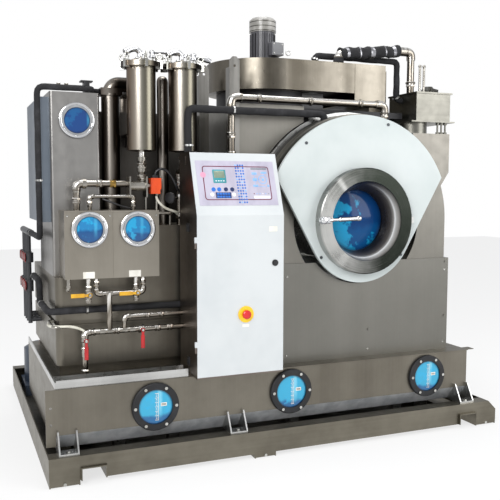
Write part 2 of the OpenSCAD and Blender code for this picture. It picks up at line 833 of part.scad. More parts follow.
module lower_pipes() {
    y = pipe_y;
    color(bright_steel) {
        pipe([[manifold_x, y, tank_top], [manifold_x, y, manifold_z], [cab_left, y, manifold_z]],
             manifold_r, 22, 20);
        pipe([[-944, y, manifold_z], [-944, y, manifold_z + 75], [cab_left, y, manifold_z + 75]],
             pipe_r, 20, 16);
        rod_z([tee_x, y, manifold_z], manifold_r, drain_z - manifold_z);
        for (x = [-1066, tee_x, -944, -902]) rod_x([x - 14, y, manifold_z], manifold_r + 4, 28);
        rod_z([manifold_x, y, tank_top], manifold_r + 6, 12);
        rod_z([manifold_x, y, manifold_z - 130], manifold_r + 5, 34);
        pipe([[-1094, y, sep_bottom], [-1094, y, drain_z], [-838, y, drain_z], [-838, y, sep_bottom]],
             pipe_r, 22, 14);
        rod_x([tee_x - 18, y, drain_z], pipe_r + 4, 36);
        for (x = drain_xs) {
            rod_z([x, y, 890], pipe_r, sep_bottom - 890);
            rod_z([x, y, 884], pipe_r + 4, 16);
        }
        for (v = concat(red_valves, yellow_valves)) valve_body(v[0], v[1]);
        pipe([[-1240, still_front, 958], [-1240, y, 958], [-1240, y, sep_bottom]], pipe_r, 14, 10);
    }
    color([0.80, 0.82, 0.78]) pipe([[manifold_x - 8, y, manifold_z + 12], [-1230, y, manifold_z + 38],
        [-1325, y, manifold_z + 38], [-1325, still_front + 130, manifold_z + 38],
        [still_left, still_front + 130, manifold_z + 38]], 8, 24);
}

// Flat valve lever hung from its stem, pointing along +X before it is turned
module lever(v) {
    difference() {
        union() {
            rod_y([0, 0, 0], 12, lever_t);
            block([0, 0, -7], [lever_l * 0.4, lever_t, 7]);
            translate([lever_l * 0.3, -2, 0]) rotate([0, 90, 0]) translate([0, 4.5, 0])
                linear_extrude(height = lever_l * 0.7) {
                    square([lever_w - 9, 9], center = true);
                    for (s = [-1, 1]) translate([s * (lever_w - 9) / 2, 0]) circle(r = 4.5);
                }
        }
        rod_y([0, -9, 0], stem_r + shaft_gap, 20);
    }
}

module lever_at(v, turn) {
    translate([v[0], lever_y - lever_t, v[1]]) rotate([0, turn, 0]) lever();
}

module red_lever_left() { color([0.75, 0.05, 0.06]) lever_at(red_valves[0], 90); }
module red_lever_right() { color([0.75, 0.05, 0.06]) lever_at(red_valves[1], 90); }
module yellow_lever_left() { color([0.85, 0.65, 0.08]) lever_at(yellow_valves[0], 180); }
module yellow_lever_right() { color([0.85, 0.65, 0.08]) lever_at(yellow_valves[1], 180); }

module insulated_lines() {
    side_x = -1362;
    low_r = (still_front - cab_back) / 2 - 1;
    low_y = (still_front + cab_back) / 2;
    hose_y = -812;
    hose_x = [-588, 256];
    hose_z = drum_z + casing_r - 7;
    color(black_rubber) {
        pipe([[side_x, -100, 1230], [side_x, -590, 1230], [side_x, -590, rec_top + 22],
              [-1065, -590, rec_top + 22], [-1065, column[1], rec_top + 22],
              [column[0] - 64, column[1], rec_top + 22]], 17, 34);
        pipe([[-1340, -20, 960], [-1340, -320, 960], [-1340, -320, 838], [-1340, low_y, 838],
              [posts[0][0], low_y, 838]], low_r, 30);
        rod_z([-661, -560, hood_top], 34, 2110 - hood_top);
        translate([-661, -560, 2110]) sphere(r = 34);
        difference() {
            pipe([[hose_x[0], hose_y, cab_top], [hose_x[0], hose_y, hose_z], [hose_x[1], hose_y, hose_z],
                  [hose_x[1], hose_y, hose_z - 60]], foam_r - 1, 30);
            rod_y([drum_x, casing_front - 1, drum_z], casing_r + seat_gap, panel_front - casing_front + 2);
        }
        pipe([[330, -540, scroll_high], [330, -540, scroll_high + 44], [935, -540, scroll_high + 44],
              [935, -540, 2080], [box_x[0], -540, 2080]], foam_r - 2, 26);
    }
}

module side_valves() {
    x = -1362;
    rows = [0, 90, 180, 270];
    color(dark_steel) {
        rod_y([x, -100, 1230], 20, 420);
        for (y = rows) {
            rod_z([x, y, 660], 13, 570);
            bar([x, y, 680], [still_left, y, 680], 12);
            rod_z([x, y, 860], 24, 70);
            rod_z([x, y, 1040], 26, 60);
        }
    }
    color([0.55, 0.10, 0.08]) for (y = rows) {
        rod_x([-1392, y, 895], 10, 30);
        rod_x([-1392, y, 895], 30, 7);
        rod_x([-1392, y, 1070], 26, 7);
        rod_x([-1392, y, 1070], 10, 30);
    }
}

module top_pipes() {
    y = -592;
    color(bright_steel) {
        pipe([[470, y, scroll_high], [470, y, scroll_high + 56], [925, y, scroll_high + 102],
              [1008, y, scroll_high + 102],
              [1008, y, box_z[1] + box_lip]], 22, 34, 20);
        for (x = [1062, 1094]) {
            rod_z([x, -620, box_z[1] + box_lip], 8, 176);
            translate([x, -620, box_z[1] + box_lip + 176]) sphere(r = 11);
        }
        pipe([[-316, riser_foot[1], cab_top], [-316, riser_foot[1], riser_top],
              [riser_foot[0], riser_foot[1], riser_top], riser_foot],
             riser_r, 40, 26);
    }
    color(dark_steel) for (i = [0 : 4]) {
        rod_z([1126 + i * 20, -660 + i * 12, box_z[1] + box_lip], 8, 34);
        rod_z([1126 + i * 20, -660 + i * 12, box_z[1] + box_lip + 20], 9, 14);
    }
    color([0.30, 0.30, 0.20]) {
        rod_z([1170, -560, box_z[1] + box_lip], 46, 30);
        translate([1170, -560, box_z[1] + box_lip + 30]) cylinder(r1 = 46, r2 = 30, h = 26);
    }
}

// ---------------------------------------------------------------- frame, housing and tub

module frame_posts() {
    c = 20;
    color(steel) for (p = posts) {
        difference() {
            along_y(p[1], p[1] + post_t) polygon([[p[0], tank_top], [p[0] + post_w, tank_top],
                [p[0] + post_w, post_top - c], [p[0] + post_w - c, post_top], [p[0] + c, post_top],
                [p[0], post_top - c]]);
            rod_y([p[0] + post_w / 2, p[1] - 1, post_top - 53], 8, post_t + 2);
        }
        block([p[0], p[1], tank_top], [p[0] + post_t, p[1] + post_w, post_top - 60]);
    }
}

module left_housing() {
    t = housing_t;
    color(steel) difference() {
        union() {
            block([housing_left, panel_front, tank_top], [housing_right, housing_back, housing_top]);
            block([-270, panel_front, tank_top], [housing_left, panel_front + t, housing_top - 20]);
        }
        block([housing_left + t, panel_front + t, tank_top + t],
              [housing_right - t, housing_back - t, housing_top - t]);
        rod_y([drum_x, panel_front - 1, drum_z], tub_clear, housing_back - panel_front + 2);
        rod_z([blower_x, blower_y, housing_top - t - 1], inlet_r, t + 2);
    }
}

// Round-topped outline of the drum's front casing, cut off upright at its left
module casing_outline(r, foot, left) {
    intersection() {
        union() {
            translate([drum_x, drum_z]) circle(r = r);
            translate([drum_x - r, foot]) square([2 * r, drum_z - foot]);
        }
        translate([left, foot]) square([drum_x + r + 1 - left, drum_z + r + 1 - foot]);
    }
}

module tub_front() {
    t = housing_t;
    color(steel) {
        difference() {
            along_y(casing_front, panel_front) casing_outline(casing_r, tank_top, casing_left);
            along_y(casing_front + t, panel_front + 1)
                casing_outline(casing_r - t, tank_top + t, casing_left + t);
            rod_y([drum_x, casing_front - 1, drum_z], casing_hole_r, t + 2);
            for (s = plate_screws) rod_y([s[0], casing_front - 1, s[1]], stud_r, t + 2);
        }
        difference() {
            rod_z([riser_foot[0], riser_foot[1], drum_z + casing_r - 60], riser_r + 4,
                  riser_foot[2] - drum_z - casing_r + 60);
            rod_y([drum_x, casing_front, drum_z], casing_r - 1, 200);
        }
    }
}

module drum_tub() {
    color([0.55, 0.55, 0.54]) {
        ring_y([drum_x, panel_front, drum_z], tub_r, tub_r - tub_t, tub_back - panel_front);
        ring_y([drum_x, panel_front, drum_z], tub_r - tub_t, tub_face_hole - neck_t, tub_t);
        ring_y([drum_x, tub_back - tub_t, drum_z], tub_r - tub_t, shaft_r + 20, tub_t);
    }
    color(dark_steel) for (y = cradle_ys) difference() {
        block([drum_x - cradle_w, y, tank_top], [drum_x + cradle_w, y + 12, drum_z - 300]);
        rod_y([drum_x, y - 1, drum_z], tub_r, 14);
    }
}

// Welded to the tub's front wall; the door's seal meets its rim
module tub_neck() {
    color([0.55, 0.55, 0.54]) {
        ring_y([drum_x, seat_y, drum_z], mouth_r + neck_t, mouth_r, panel_front - seat_y);
        ring_y([drum_x, seat_y, drum_z], mouth_rim_r, mouth_r, 8);
    }
}

module tub_band() {
    y = [panel_front - band_w - 2, panel_front - 2];
    r = band_r[1] + 1;
    color(bright_steel) {
        intersection() {
            ring_y([drum_x, y[0], drum_z], band_r[1], band_r[0], band_w);
            union() {
                block([drum_x, y[0] - 1, drum_z + 60], [drum_x + r, y[1] + 1, drum_z + r]);
                block([drum_x - r, y[0] - 1, cab_top + 4], [drum_x, y[1] + 1, drum_z + r]);
            }
        }
        for (a = latches) translate([drum_x, y[0], drum_z]) rotate([0, -a, 0])
            block([band_r[1] - 4, 2, -26], [band_r[1] + 14, band_w - 2, 26]);
    }
}

// White plate: a round top between two corners, straight sides to a rounded chin
module plate_outline(in) {
    chin_z = drum_z - 12;
    half = sqrt(pow(plate_r, 2) - pow(plate_corner_z - drum_z - 6, 2));
    dx = half;
    dz = plate_corner_z - chin_z;
    dist = norm([dx, dz]);
    a = atan2(dz, dx) - acos(chin_r / dist);
    intersection() {
        translate([drum_x, drum_z + 6]) circle(r = plate_r - in, $fn = 96);
        translate([drum_x - 800, plate_corner_z]) square([1600, 800]);
    }
    translate([drum_x, chin_z]) circle(r = chin_r - in, $fn = 96);
    polygon([[drum_x - half + in * 1.3, plate_corner_z], [drum_x + half - in * 1.3, plate_corner_z],
        [drum_x + (chin_r - in) * cos(a), chin_z + (chin_r - in) * sin(a)],
        [drum_x - (chin_r - in) * cos(a), chin_z + (chin_r - in) * sin(a)]]);
}

module front_plate() {
    color(white_paint) difference() {
        along_y(plate_front, plate_front + plate_rim) plate_outline(0);
        along_y(plate_front + plate_t, plate_front + plate_rim + 1) plate_outline(plate_t);
        rod_y([drum_x, plate_front - 1, drum_z], mouth_rim_r + 2, plate_t + 2);
    }
    color(dark_steel) for (s = plate_screws) rod_y([s[0], plate_front - 4, s[1]], 9, 4);
}

module lower_panel() {
    t = 4;
    clear = casing_r + 2;
    color(steel) difference() {
        union() {
            block([lower_x[0], lower_front, tank_top], [lower_x[1], lower_front + t, lower_top]);
            block([lower_x[1] - t, lower_front, tank_top], [lower_x[1], panel_front, lower_top]);
            block([drum_x + clear, lower_front, lower_top - t], [lower_x[1], panel_front, lower_top]);
        }
        along_y(casing_front - 1, panel_front + 1) casing_outline(clear, tank_top - 1, drum_x - clear);
        rod_y([drum_x, lower_front - 1, drum_z], chin_r + 20, t + 2);
    }
    color(bright_steel) for (s = [[lower_x[1] - 22, lower_top - 24], [lower_x[1] - 22, 690], [545, 640]])
        rod_y([s[0], lower_front - 4, s[1]], 8, 4);
}
// ---------------------------------------------------------------- air circuit

module blower_scroll() {
    t = scroll_t;
    c = [blower_x, blower_y];
    color([0.56, 0.54, 0.51]) difference() {
        union() {
            translate([c[0], c[1], scroll_low]) cylinder(r = scroll_r, h = scroll_high - scroll_low, $fn = 96);
            block([c[0], scroll_front, scroll_low], [seam_x, scroll_back, scroll_high]);
            block([seam_x, scroll_front, duct_bottom], [duct_end, scroll_back, scroll_high]);
            block([duct_end, -420, housing_top], [riser_box[1], scroll_back, scroll_high]);
        }
        translate([c[0], c[1], scroll_low + t])
            cylinder(r = scroll_r - t, h = scroll_high - scroll_low - 2 * t, $fn = 96);
        block([c[0], scroll_front + t, scroll_low + t], [seam_x + 1, scroll_back - t, scroll_high - t]);
        block([seam_x, scroll_front + t, duct_bottom + t], [duct_end - t, scroll_back - t, scroll_high - t]);
        block([duct_end - t - 1, -420 + t, housing_top + 70],
              [riser_box[1] - t, scroll_back - t, scroll_high - t]);
        rod_z([c[0], c[1], scroll_low - 1], inlet_r, t + 2);
        rod_z([c[0], c[1], scroll_high - t - 1], rotor_r + 6, t + 2);
        block([seam_x - 1.5, scroll_front - 1, scroll_low - 99], [seam_x + 1.5, scroll_front + 2, scroll_high + 1]);
    }
    color(black_rubber) translate([c[0], c[1], housing_top]) difference() {
        cylinder(r = base_r, h = scroll_low - housing_top);
        translate([0, 0, -1]) cylinder(r = inlet_r, h = scroll_low - housing_top + 2);
    }
}

module blower_motor() {
    r = cowl_d / 2;
    body_r = r - 10;
    c = [blower_x, blower_y, 0];
    fin_h = 190;
    z0 = motor_base;
    color([0.45, 0.45, 0.46]) translate(c) {
        rod_z([0, 0, z0], motor_flange_r, 14);
        rod_z([0, 0, z0 + 14], body_r, fin_h + 16);
        for (k = [0 : 23]) rotate([0, 0, k * 15])
            block([body_r - 2, -1.5, z0 + 22], [r - 3, 1.5, z0 + 14 + fin_h]);
        rod_z([0, 0, z0 + fin_h + 26], r, cowl_top - 14 - z0 - fin_h - 26);
        translate([0, 0, cowl_top - 14]) cylinder(r1 = r, r2 = r - 14, h = 14);
        rotate([0, 0, 8]) block([-4, -r - 38, z0 + 62], [82, -body_r + 26, z0 + 142]);
        rod_z([r + 8, 0, z0], 12, 70);
        translate([r + 12, 0, z0 + 92]) rotate([90, 0, 0]) rotate_extrude() translate([22, 0]) circle(r = 6);
    }
    color(dark_steel) rod_z([c[0], c[1], z0 - 30], rotor_r, 31);
}

module blower_impeller() {
    z = impeller_z;
    n = 12;
    color([0.62, 0.62, 0.60]) translate([blower_x, blower_y, 0]) difference() {
        union() {
            rod_z([0, 0, z[1] - 4], impeller_r, 4);
            rod_z([0, 0, z[1] - 70], 34, 66);
            difference() {
                rod_z([0, 0, z[0]], impeller_r, 4);
                rod_z([0, 0, z[0] - 1], inlet_r - 8, 6);
            }
            for (k = [0 : n - 1]) rotate([0, 0, k * 360 / n])
                translate([impeller_r - 78, -2, z[0]]) rotate([0, 0, 24])
                    cube([70, 4, z[1] - z[0]]);
        }
        rod_z([0, 0, z[1] - 80], rotor_r + shaft_gap, 100);
    }
}

module air_duct() {
    t = 4;
    outline = [[duct_left, duct_top], [duct_right, duct_top], [duct_right, duct_low], duct_foot,
        [duct_left, duct_foot[1]]];
    inner = [[duct_left + t, duct_top - t], [duct_right - t, duct_top - t],
        [duct_right - t, duct_low + 2], [duct_foot[0] - 2, duct_foot[1] + t],
        [duct_left + t, duct_foot[1] + t]];
    color(steel) difference() {
        union() {
            along_y(panel_front, housing_back) polygon(outline);
            block([duct_left, -380, duct_top - t], [duct_right, housing_back, housing_top]);
        }
        along_y(panel_front + t, housing_back - t) polygon(inner);
        block([duct_left + t, -380 + t, duct_top - 2 * t],
              [duct_right - t, housing_back - t, housing_top - t]);
        rod_y([drum_x, panel_front - 1, drum_z], tub_clear, housing_back - panel_front + 2);
        rod_z([neck_xy[0], neck_xy[1], duct_top - t - 1], neck_r - t, t + 2);
    }
    color(dark_steel) difference() {
        block([housing_right, -600, chamber_low], [duct_left, housing_back, housing_top]);
        block([housing_right + t, -600 + t, chamber_low + t],
              [duct_left - t, housing_back - t, housing_top - t]);
        rod_z([blower_x, blower_y, housing_top - t - 1], inlet_r, t + 2);
    }
}

module top_box() {
    t = 4;
    color([0.42, 0.43, 0.41]) difference() {
        union() {
            block([box_x[0], box_y[0], box_z[0]], [box_x[1], box_y[1], box_z[1]]);
            block([box_x[0] - 6, box_y[0] - 8, box_z[1]], [box_x[1] + 12, box_y[1] + 8, box_z[1] + box_lip]);
            block([box_x[0] - 40, box_y[0] - 8, box_z[0] - 8], [box_x[1] + 34, box_y[1] + 8, box_z[0]]);
            rod_z([neck_xy[0], neck_xy[1], duct_top], neck_r, box_z[0] - duct_top);
        }
        block([box_x[0] + t, box_y[0] + t, box_z[0] + t], [box_x[1] - t, box_y[1] - t, box_z[1] - t]);
        rod_z([neck_xy[0], neck_xy[1], duct_top - 1], neck_r - t, box_z[0] - duct_top + 6);
    }
    color(bright_steel) for (x = [1150, 1180, 1210]) {
        rod_z([x, box_y[0] + 14, duct_top], 6, box_z[0] - 8 - duct_top);
        rod_z([x, box_y[0] + 14, duct_top], 12, 12);
        rod_z([x, box_y[0] + 14, box_z[0] - 22], 12, 14);
    }
}

// ---------------------------------------------------------------- drum and drive

module basket() {
    t = basket_t;
    back = basket_front + basket_depth;
    rib = 70;
    color([0.72, 0.72, 0.71]) {
        ring_y([drum_x, basket_front, drum_z], basket_r, basket_r - t, basket_depth);
        ring_y([drum_x, basket_front, drum_z], basket_r, basket_mouth_r, t);
        rod_y([drum_x, back - t, drum_z], basket_r, t);
        for (k = [0 : 2]) translate([drum_x, basket_front, drum_z]) rotate([0, 90 + k * 120, 0])
            translate([0, basket_depth, 0]) rotate([90, 0, 0]) linear_extrude(height = basket_depth)
                polygon([[basket_r - t, -rib], [basket_r - 2 * rib, -12], [basket_r - 2 * rib, 12],
                         [basket_r - t, rib]]);
        rod_y([drum_x, back, drum_z], shaft_r + 60, 20);
        rod_y([drum_x, back, drum_z], shaft_r, pulley_y[1] + 18 - back);
    }
}

module bearing_housing() {
    color(dark_steel) difference() {
        union() {
            rod_y([drum_x, tub_back, drum_z], 190, 16);
            rod_y([drum_x, tub_back, drum_z], 95, bearing_back - tub_back);
            for (k = [0 : 5]) translate([drum_x, tub_back, drum_z]) rotate([0, k * 60, 0])
                along_x(-6, 6, [[0, 80], [0, 186], [24, 186], [120, 92], [120, 80]]);
        }
        rod_y([drum_x, tub_back - 1, drum_z], shaft_r + shaft_gap, bearing_back - tub_back + 2);
    }
}

module pulley(c, r, bore) {
    w = pulley_y[1] - pulley_y[0];
    difference() {
        union() {
            rod_y([c[0], pulley_y[0], c[1]], r + 5, (w - belt_w) / 2 - 1);
            rod_y([c[0], pulley_y[0], c[1]], r, w);
            rod_y([c[0], pulley_y[1] - (w - belt_w) / 2 + 1, c[1]], r + 5, (w - belt_w) / 2 - 1);
        }
        rod_y([c[0], pulley_y[0] - 1, c[1]], bore, w + 2);
    }
}

module drum_pulley() {
    c = [drum_x, drum_z];
    color(dark_steel) difference() {
        pulley(c, pulley_r, shaft_r + shaft_gap);
        for (k = [0 : 4]) translate([c[0], 0, c[1]]) rotate([0, k * 72, 0])
            rod_y([190, pulley_y[0] - 1, 0], 78, pulley_y[1] - pulley_y[0] + 2);
    }
}

module motor_pulley() {
    color(dark_steel) pulley(motor_axis, motor_pulley_r, motor_shaft_r + shaft_gap);
}

// Points on an arc round c, from angle a0 to a1 in n steps
function arc_points(c, r, a0, a1, n) =
    [for (i = [0 : n]) let (a = a0 + (a1 - a0) * i / n) c + r * [cos(a), sin(a)]];

// Outline of a belt run over both pulleys, standing out from them by out
module belt_outline(out) {
    a = [drum_x, drum_z];
    d = motor_axis - a;
    base = atan2(d[1], d[0]);
    lean = acos((pulley_r - motor_pulley_r) / norm(d));
    polygon(concat(arc_points(a, pulley_r + out, base + lean, base - lean + 360, 72),
        arc_points(motor_axis, motor_pulley_r + out, base - lean, base + lean, 16)));
}

module drive_belt() {
    y = (pulley_y[0] + pulley_y[1] - belt_w) / 2;
    color(black_rubber) along_y(y, y + belt_w) difference() {
        belt_outline(seat_gap + belt_t);
        belt_outline(seat_gap);
    }
}

module drive_motor() {
    c = motor_axis;
    color([0.30, 0.36, 0.44]) {
        rod_y([c[0], motor_y[0], c[1]], motor_r - 8, motor_y[1] - motor_y[0]);
        rod_y([c[0], motor_y[0], c[1]], motor_r, 60);
        for (k = [0 : 17]) translate([c[0], 0, c[1]]) rotate([0, k * 20, 0])
            block([motor_r - 12, motor_y[0] + 70, -2], [motor_r, motor_y[1] - 20, 2]);
        block([c[0] - 90, motor_y[0] + 70, tank_top], [c[0] + 90, motor_y[1] - 30, tank_top + 14]);
        for (s = [-1, 1]) block([c[0] + s * 60 - 8, motor_y[0] + 80, tank_top + 14],
            [c[0] + s * 60 + 8, motor_y[1] - 40, c[1] - 50]);
    }
    color(bright_steel) rod_y([c[0], motor_y[1] - 1, c[1]], motor_shaft_r, pulley_y[1] - motor_y[1]);
}

module compressor() {
    x = [tank_left, tank_left + 415];
    y = [tray_back - 446, tray_back - 116];
    vessel = [[x[0] + 135, y[0] + 165], [x[0] + 315, y[0] + 165]];
    base = pocket_h + pocket_wall + 6;
    color(dark_steel) {
        for (r = [x[0], x[1] - 60]) block([r, y[0], floor_top], [r + 60, y[1], base]);
        block([x[0], y[0], base], [x[1], y[1], base + 8]);
        rod_z([vessel[0][0], vessel[0][1], base + 8], 125, 240);
        translate([vessel[0][0], vessel[0][1], base + 248]) cylinder(r1 = 125, r2 = 70, h = 34);
        rod_z([vessel[1][0], vessel[1][1], base + 8], 70, 200);
        bar([vessel[0][0], vessel[0][1], base + 150], [vessel[1][0], vessel[1][1], base + 150], 18);
    }
}

module solvent_pump() {
    x = 620;
    y = tray_back - 406;
    color([0.30, 0.36, 0.44]) {
        block([x, y - 90, floor_top], [x + 420, y + 90, floor_top + 12]);
        for (f = [x + 60, x + 240]) block([f, y - 60, floor_top + 12], [f + 20, y + 60, floor_top + 60]);
        rod_x([x + 30, y, floor_top + 110], 75, 260);
    }
    color(bright_steel) {
        rod_x([x + 290, y, floor_top + 110], 95, 60);
        rod_x([x + 350, y, floor_top + 110], 26, 60);
        block([x + 300, y - 40, floor_top + 12], [x + 340, y + 40, floor_top + 30]);
        rod_z([x + 320, y, floor_top + 190], 24, 90);
    }
}

// ---------------------------------------------------------------- control cabinet

function cab_profile(in, low, back) = [[back, low], [cab_front + in, low],
    [cab_front + in, cab_bend + in * tan(console_angle / 2)],
    [cab_front + cab_slope + in / cos(console_angle) - (in > 0 ? in * tan(console_angle) : 0),
     cab_ledge], [cab_front + cab_slope + in * 1.2, cab_top - (in > cab_door_t ? cab_t : 0)],
    [back, cab_top - (in > cab_door_t ? cab_t : 0)]];

module cabinet_shell() {
    d = cab_door_t;
    color([0.50, 0.46, 0.44]) difference() {
        along_x(cab_left, cab_right, cab_profile(d, cab_bottom, cab_back));
        along_x(cab_left + cab_t, cab_right - cab_t, cab_profile(-20, cab_bottom + cab_t + 40, cab_back - cab_t)
            );
        for (x = [cab_left - 1, cab_right - cab_t - 1], s = slots)
            block([x, s[0] - 7, s[1] - 22], [x + cab_t + 2, s[0] + 7, s[1] + 22]);
    }
    color([0.50, 0.46, 0.44]) for (z = cab_hinge_zs) difference() {
        union() {
            rod_z([cab_hinge[0], cab_hinge[1], z], cab_hinge_r, cab_hinge_h);
            block([cab_hinge[0], cab_hinge[1], z], [cab_left, cab_hinge[1] + 30, z + cab_hinge_h]);
        }
        rod_z([cab_hinge[0], cab_hinge[1], z - 1], 2.5 + shaft_gap, cab_hinge_h + 2);
    }
}

module cabinet_door() {
    color(white_paint) difference() {
        along_x(cab_left, cab_right, concat(
            [for (p = cab_profile(0, cab_door_bottom, 0)) if (p[1] < cab_top - 1 && p[0] < 0) p],
            [for (i = [3 : -1 : 1]) cab_profile(cab_door_t, cab_door_bottom, 0)[i]]));
        rod_y([estop[0], cab_front - 1, estop[1]], estop_stem_r + 1, 6);
        rod_y([lock[0], cab_front - 1, lock[1]], lock_r + 0.5, 6);
    }
    color(bright_steel) for (z = cab_hinge_zs) {
        rod_z([cab_hinge[0], cab_hinge[1], z + cab_hinge_h + 0.5], cab_hinge_r, cab_hinge_h);
        block([cab_hinge[0], cab_hinge[1] - cab_hinge_r, z + cab_hinge_h + 0.5],
              [cab_left, cab_front + cab_door_t, z + 2 * cab_hinge_h + 0.5]);
        rod_z([cab_hinge[0], cab_hinge[1], z], 2.5, cab_hinge_h + 1);
    }
}

module control_boards() {
    x = [cab_left + cab_t + 40, cab_right - cab_t - 40];
    y = cab_back - cab_t;
    color([0.75, 0.75, 0.72]) block([x[0], y - 5, 560], [x[1], y, 1600]);
    color([0.15, 0.35, 0.22]) {
        block([x[0] + 30, y - 33, 1380], [x[1] - 30, y - 5, 1560]);
        for (i = [0 : 3]) block([x[0] + 30 + i * 96, y - 95, 1120], [x[0] + 100 + i * 96, y - 5, 1230]);
        for (i = [0 : 4]) block([x[0] + 26 + i * 78, y - 85, 880], [x[0] + 82 + i * 78, y - 5, 980]);
        block([x[0] + 30, y - 65, 640], [x[1] - 30, y - 5, 720]);
    }
}

module control_overlay() {
    color([0.75, 0.72, 0.80])
        translate([(cab_left + cab_right) / 2, cab_front, cab_bend]) rotate([-console_angle, 0, 0])
            translate([-overlay_w / 2, -overlay_t, overlay_start]) cube([overlay_w, overlay_t, overlay_l]);
}

module estop_collar() {
    color([0.95, 0.78, 0.10]) ring_y([estop[0], cab_front - estop_collar_t, estop[1]], estop_d / 2,
        estop_stem_r + shaft_gap, estop_collar_t);
}

module estop_button() {
    top = cab_front - estop_collar_t - estop_gap;
    color([0.80, 0.05, 0.08]) {
        rod_y([estop[0], top - estop_head_t, estop[1]], estop_head_r, estop_head_t);
        translate([estop[0], top - estop_head_t - estop_crown, estop[1]]) rotate([-90, 0, 0])
            cylinder(r1 = estop_head_r - 7, r2 = estop_head_r, h = estop_crown);
        rod_y([estop[0], top, estop[1]], estop_stem_r, estop_gap + estop_collar_t + 24);
    }
}

module key_lock() {
    color(black_rubber) {
        rod_y([lock[0], cab_front - 4, lock[1]], lock_r + 3, 4 - shaft_gap);
        rod_y([lock[0], cab_front - 8, lock[1]], lock_r - 3, 5);
        rod_y([lock[0], cab_front - 1, lock[1]], lock_r, 24);
    }
    color(bright_steel) block([lock[0] - 6, cab_front + 23, lock[1] - 40], [lock[0] + 6, cab_front + 27, lock[1] + 10]);
}

// ---------------------------------------------------------------- loading door

module door_ring() {
    y = [door_front, door_back];
    color([0.78, 0.78, 0.79]) {
        translate([drum_x, 0, drum_z]) rotate([90, 0, 0]) rotate_extrude($fn = 96) polygon([
            [door_r, -y[1]], [door_r, -y[0] - 6], [door_r - 6, -y[0]], [door_bore_r, -y[0]],
            [glass_r, -glass_y + 4], [glass_r, -glass_y - glass_seat],
            [glass_r + 10 + seat_gap, -glass_y - glass_seat],
            [glass_r + 10 + seat_gap, -glass_y - glass_seat - glass_t],
            [glass_r + 18, -glass_y - glass_seat - glass_t],
            [glass_r + 18, -glass_y + 4], [door_bore_r - 2, -y[1]]]);
        for (s = [-1, 1]) difference() {
            union() {
                rod_z([hinge[0], hinge[1], drum_z + (s < 0 ? -hinge_h - 21 : 21)], hinge_r, hinge_h);
                block([drum_x + sqrt(pow(door_r, 2) - pow(hinge_h + 22, 2)) - 4, hinge[1] - hinge_r,
                       drum_z + (s < 0 ? -hinge_h - 21 : 21)],
                      [hinge[0], hinge[1] + 2, drum_z + (s < 0 ? -21 : 21 + hinge_h)]);
            }
            rod_z([hinge[0], hinge[1], drum_z - 100], hinge_pin_r + shaft_gap, 200);
        }
    }
}

module door_hinge() {
    x = hinge[0];
    y = hinge[1];
    color(bright_steel) {
        rod_z([x, y, drum_z - 20], hinge_r, 40);
        block([x - 6, y, drum_z - 20], [x + 30, plate_front, drum_z + 20]);
        rod_z([x, y, drum_z - 62], hinge_pin_r, 124);
    }
}

module door_glass() {
    color(blue_glass) rod_y([drum_x, glass_y + glass_seat, drum_z], glass_r + 10, glass_t);
}

module door_seal() {
    color(black_rubber) ring_y([drum_x, door_back, drum_z], 284, 252, seal_t - 0.2);
}

module door_handle() {
    y = door_front;
    tip = handle_len;
    color(bright_steel) translate([handle[0], y, handle[1]]) {
        rod_y([0, -32, 0], handle_boss_r, 32);
        translate([0, -26, 0]) rotate([0, -2, 0]) rotate([90, 0, 0]) linear_extrude(height = handle_t)
            polygon([[0, -15], [tip, -6], [tip, 6], [0, 15]]);
    }
}

spill_tray();
hex_bolts();
solvent_tank();
tank_brackets();
sight_flanges();
sight_windows();
tank_gutter();
still_vessel();
separator_tank();
chamber_rings();
recovery_tank();
side_casing();
cooling_casing();
cooler_column();
filter_housings();
filter_lids();
filter_cartridges();
upper_pipes();
lower_pipes();
solenoid_coil();
insulated_lines();
side_valves();
frame_posts();
left_housing();
tub_front();
drum_tub();
tub_neck();
tub_band();
front_plate();
lower_panel();
blower_scroll();
blower_motor();
air_duct();
top_box();
top_pipes();
bearing_housing();
drive_motor();
drive_belt();
compressor();
solvent_pump();
cabinet_shell();
control_boards();
door_hinge();
basket();
drum_pulley();
motor_pulley();
blower_impeller();
door_ring();
door_glass();
door_seal();
door_handle();
cabinet_door();
control_overlay();
estop_collar();
estop_button();
key_lock();
red_lever_left();
red_lever_right();
yellow_lever_left();
yellow_lever_right();
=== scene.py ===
# %% [markdown]
# # Dressing a dry cleaning machine
# The real machine is welded and folded from stainless sheet: a shallow spill tray, a solvent tank with three
# sight windows, a still, two filters, a big drum behind a white plate, a control cabinet and a fan on top.
# The frame that is loaded here already has every one of those pieces at its real size, so this lesson never
# moves them. It gives each one its finish, and it adds the thin things that the frame leaves out: pipe
# fittings, soft foam, cables, print on the keypad, screws, nuts and bare plates.

# %% Load the frame
import json
import math

import bpy
import numpy as np
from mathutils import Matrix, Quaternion, Vector


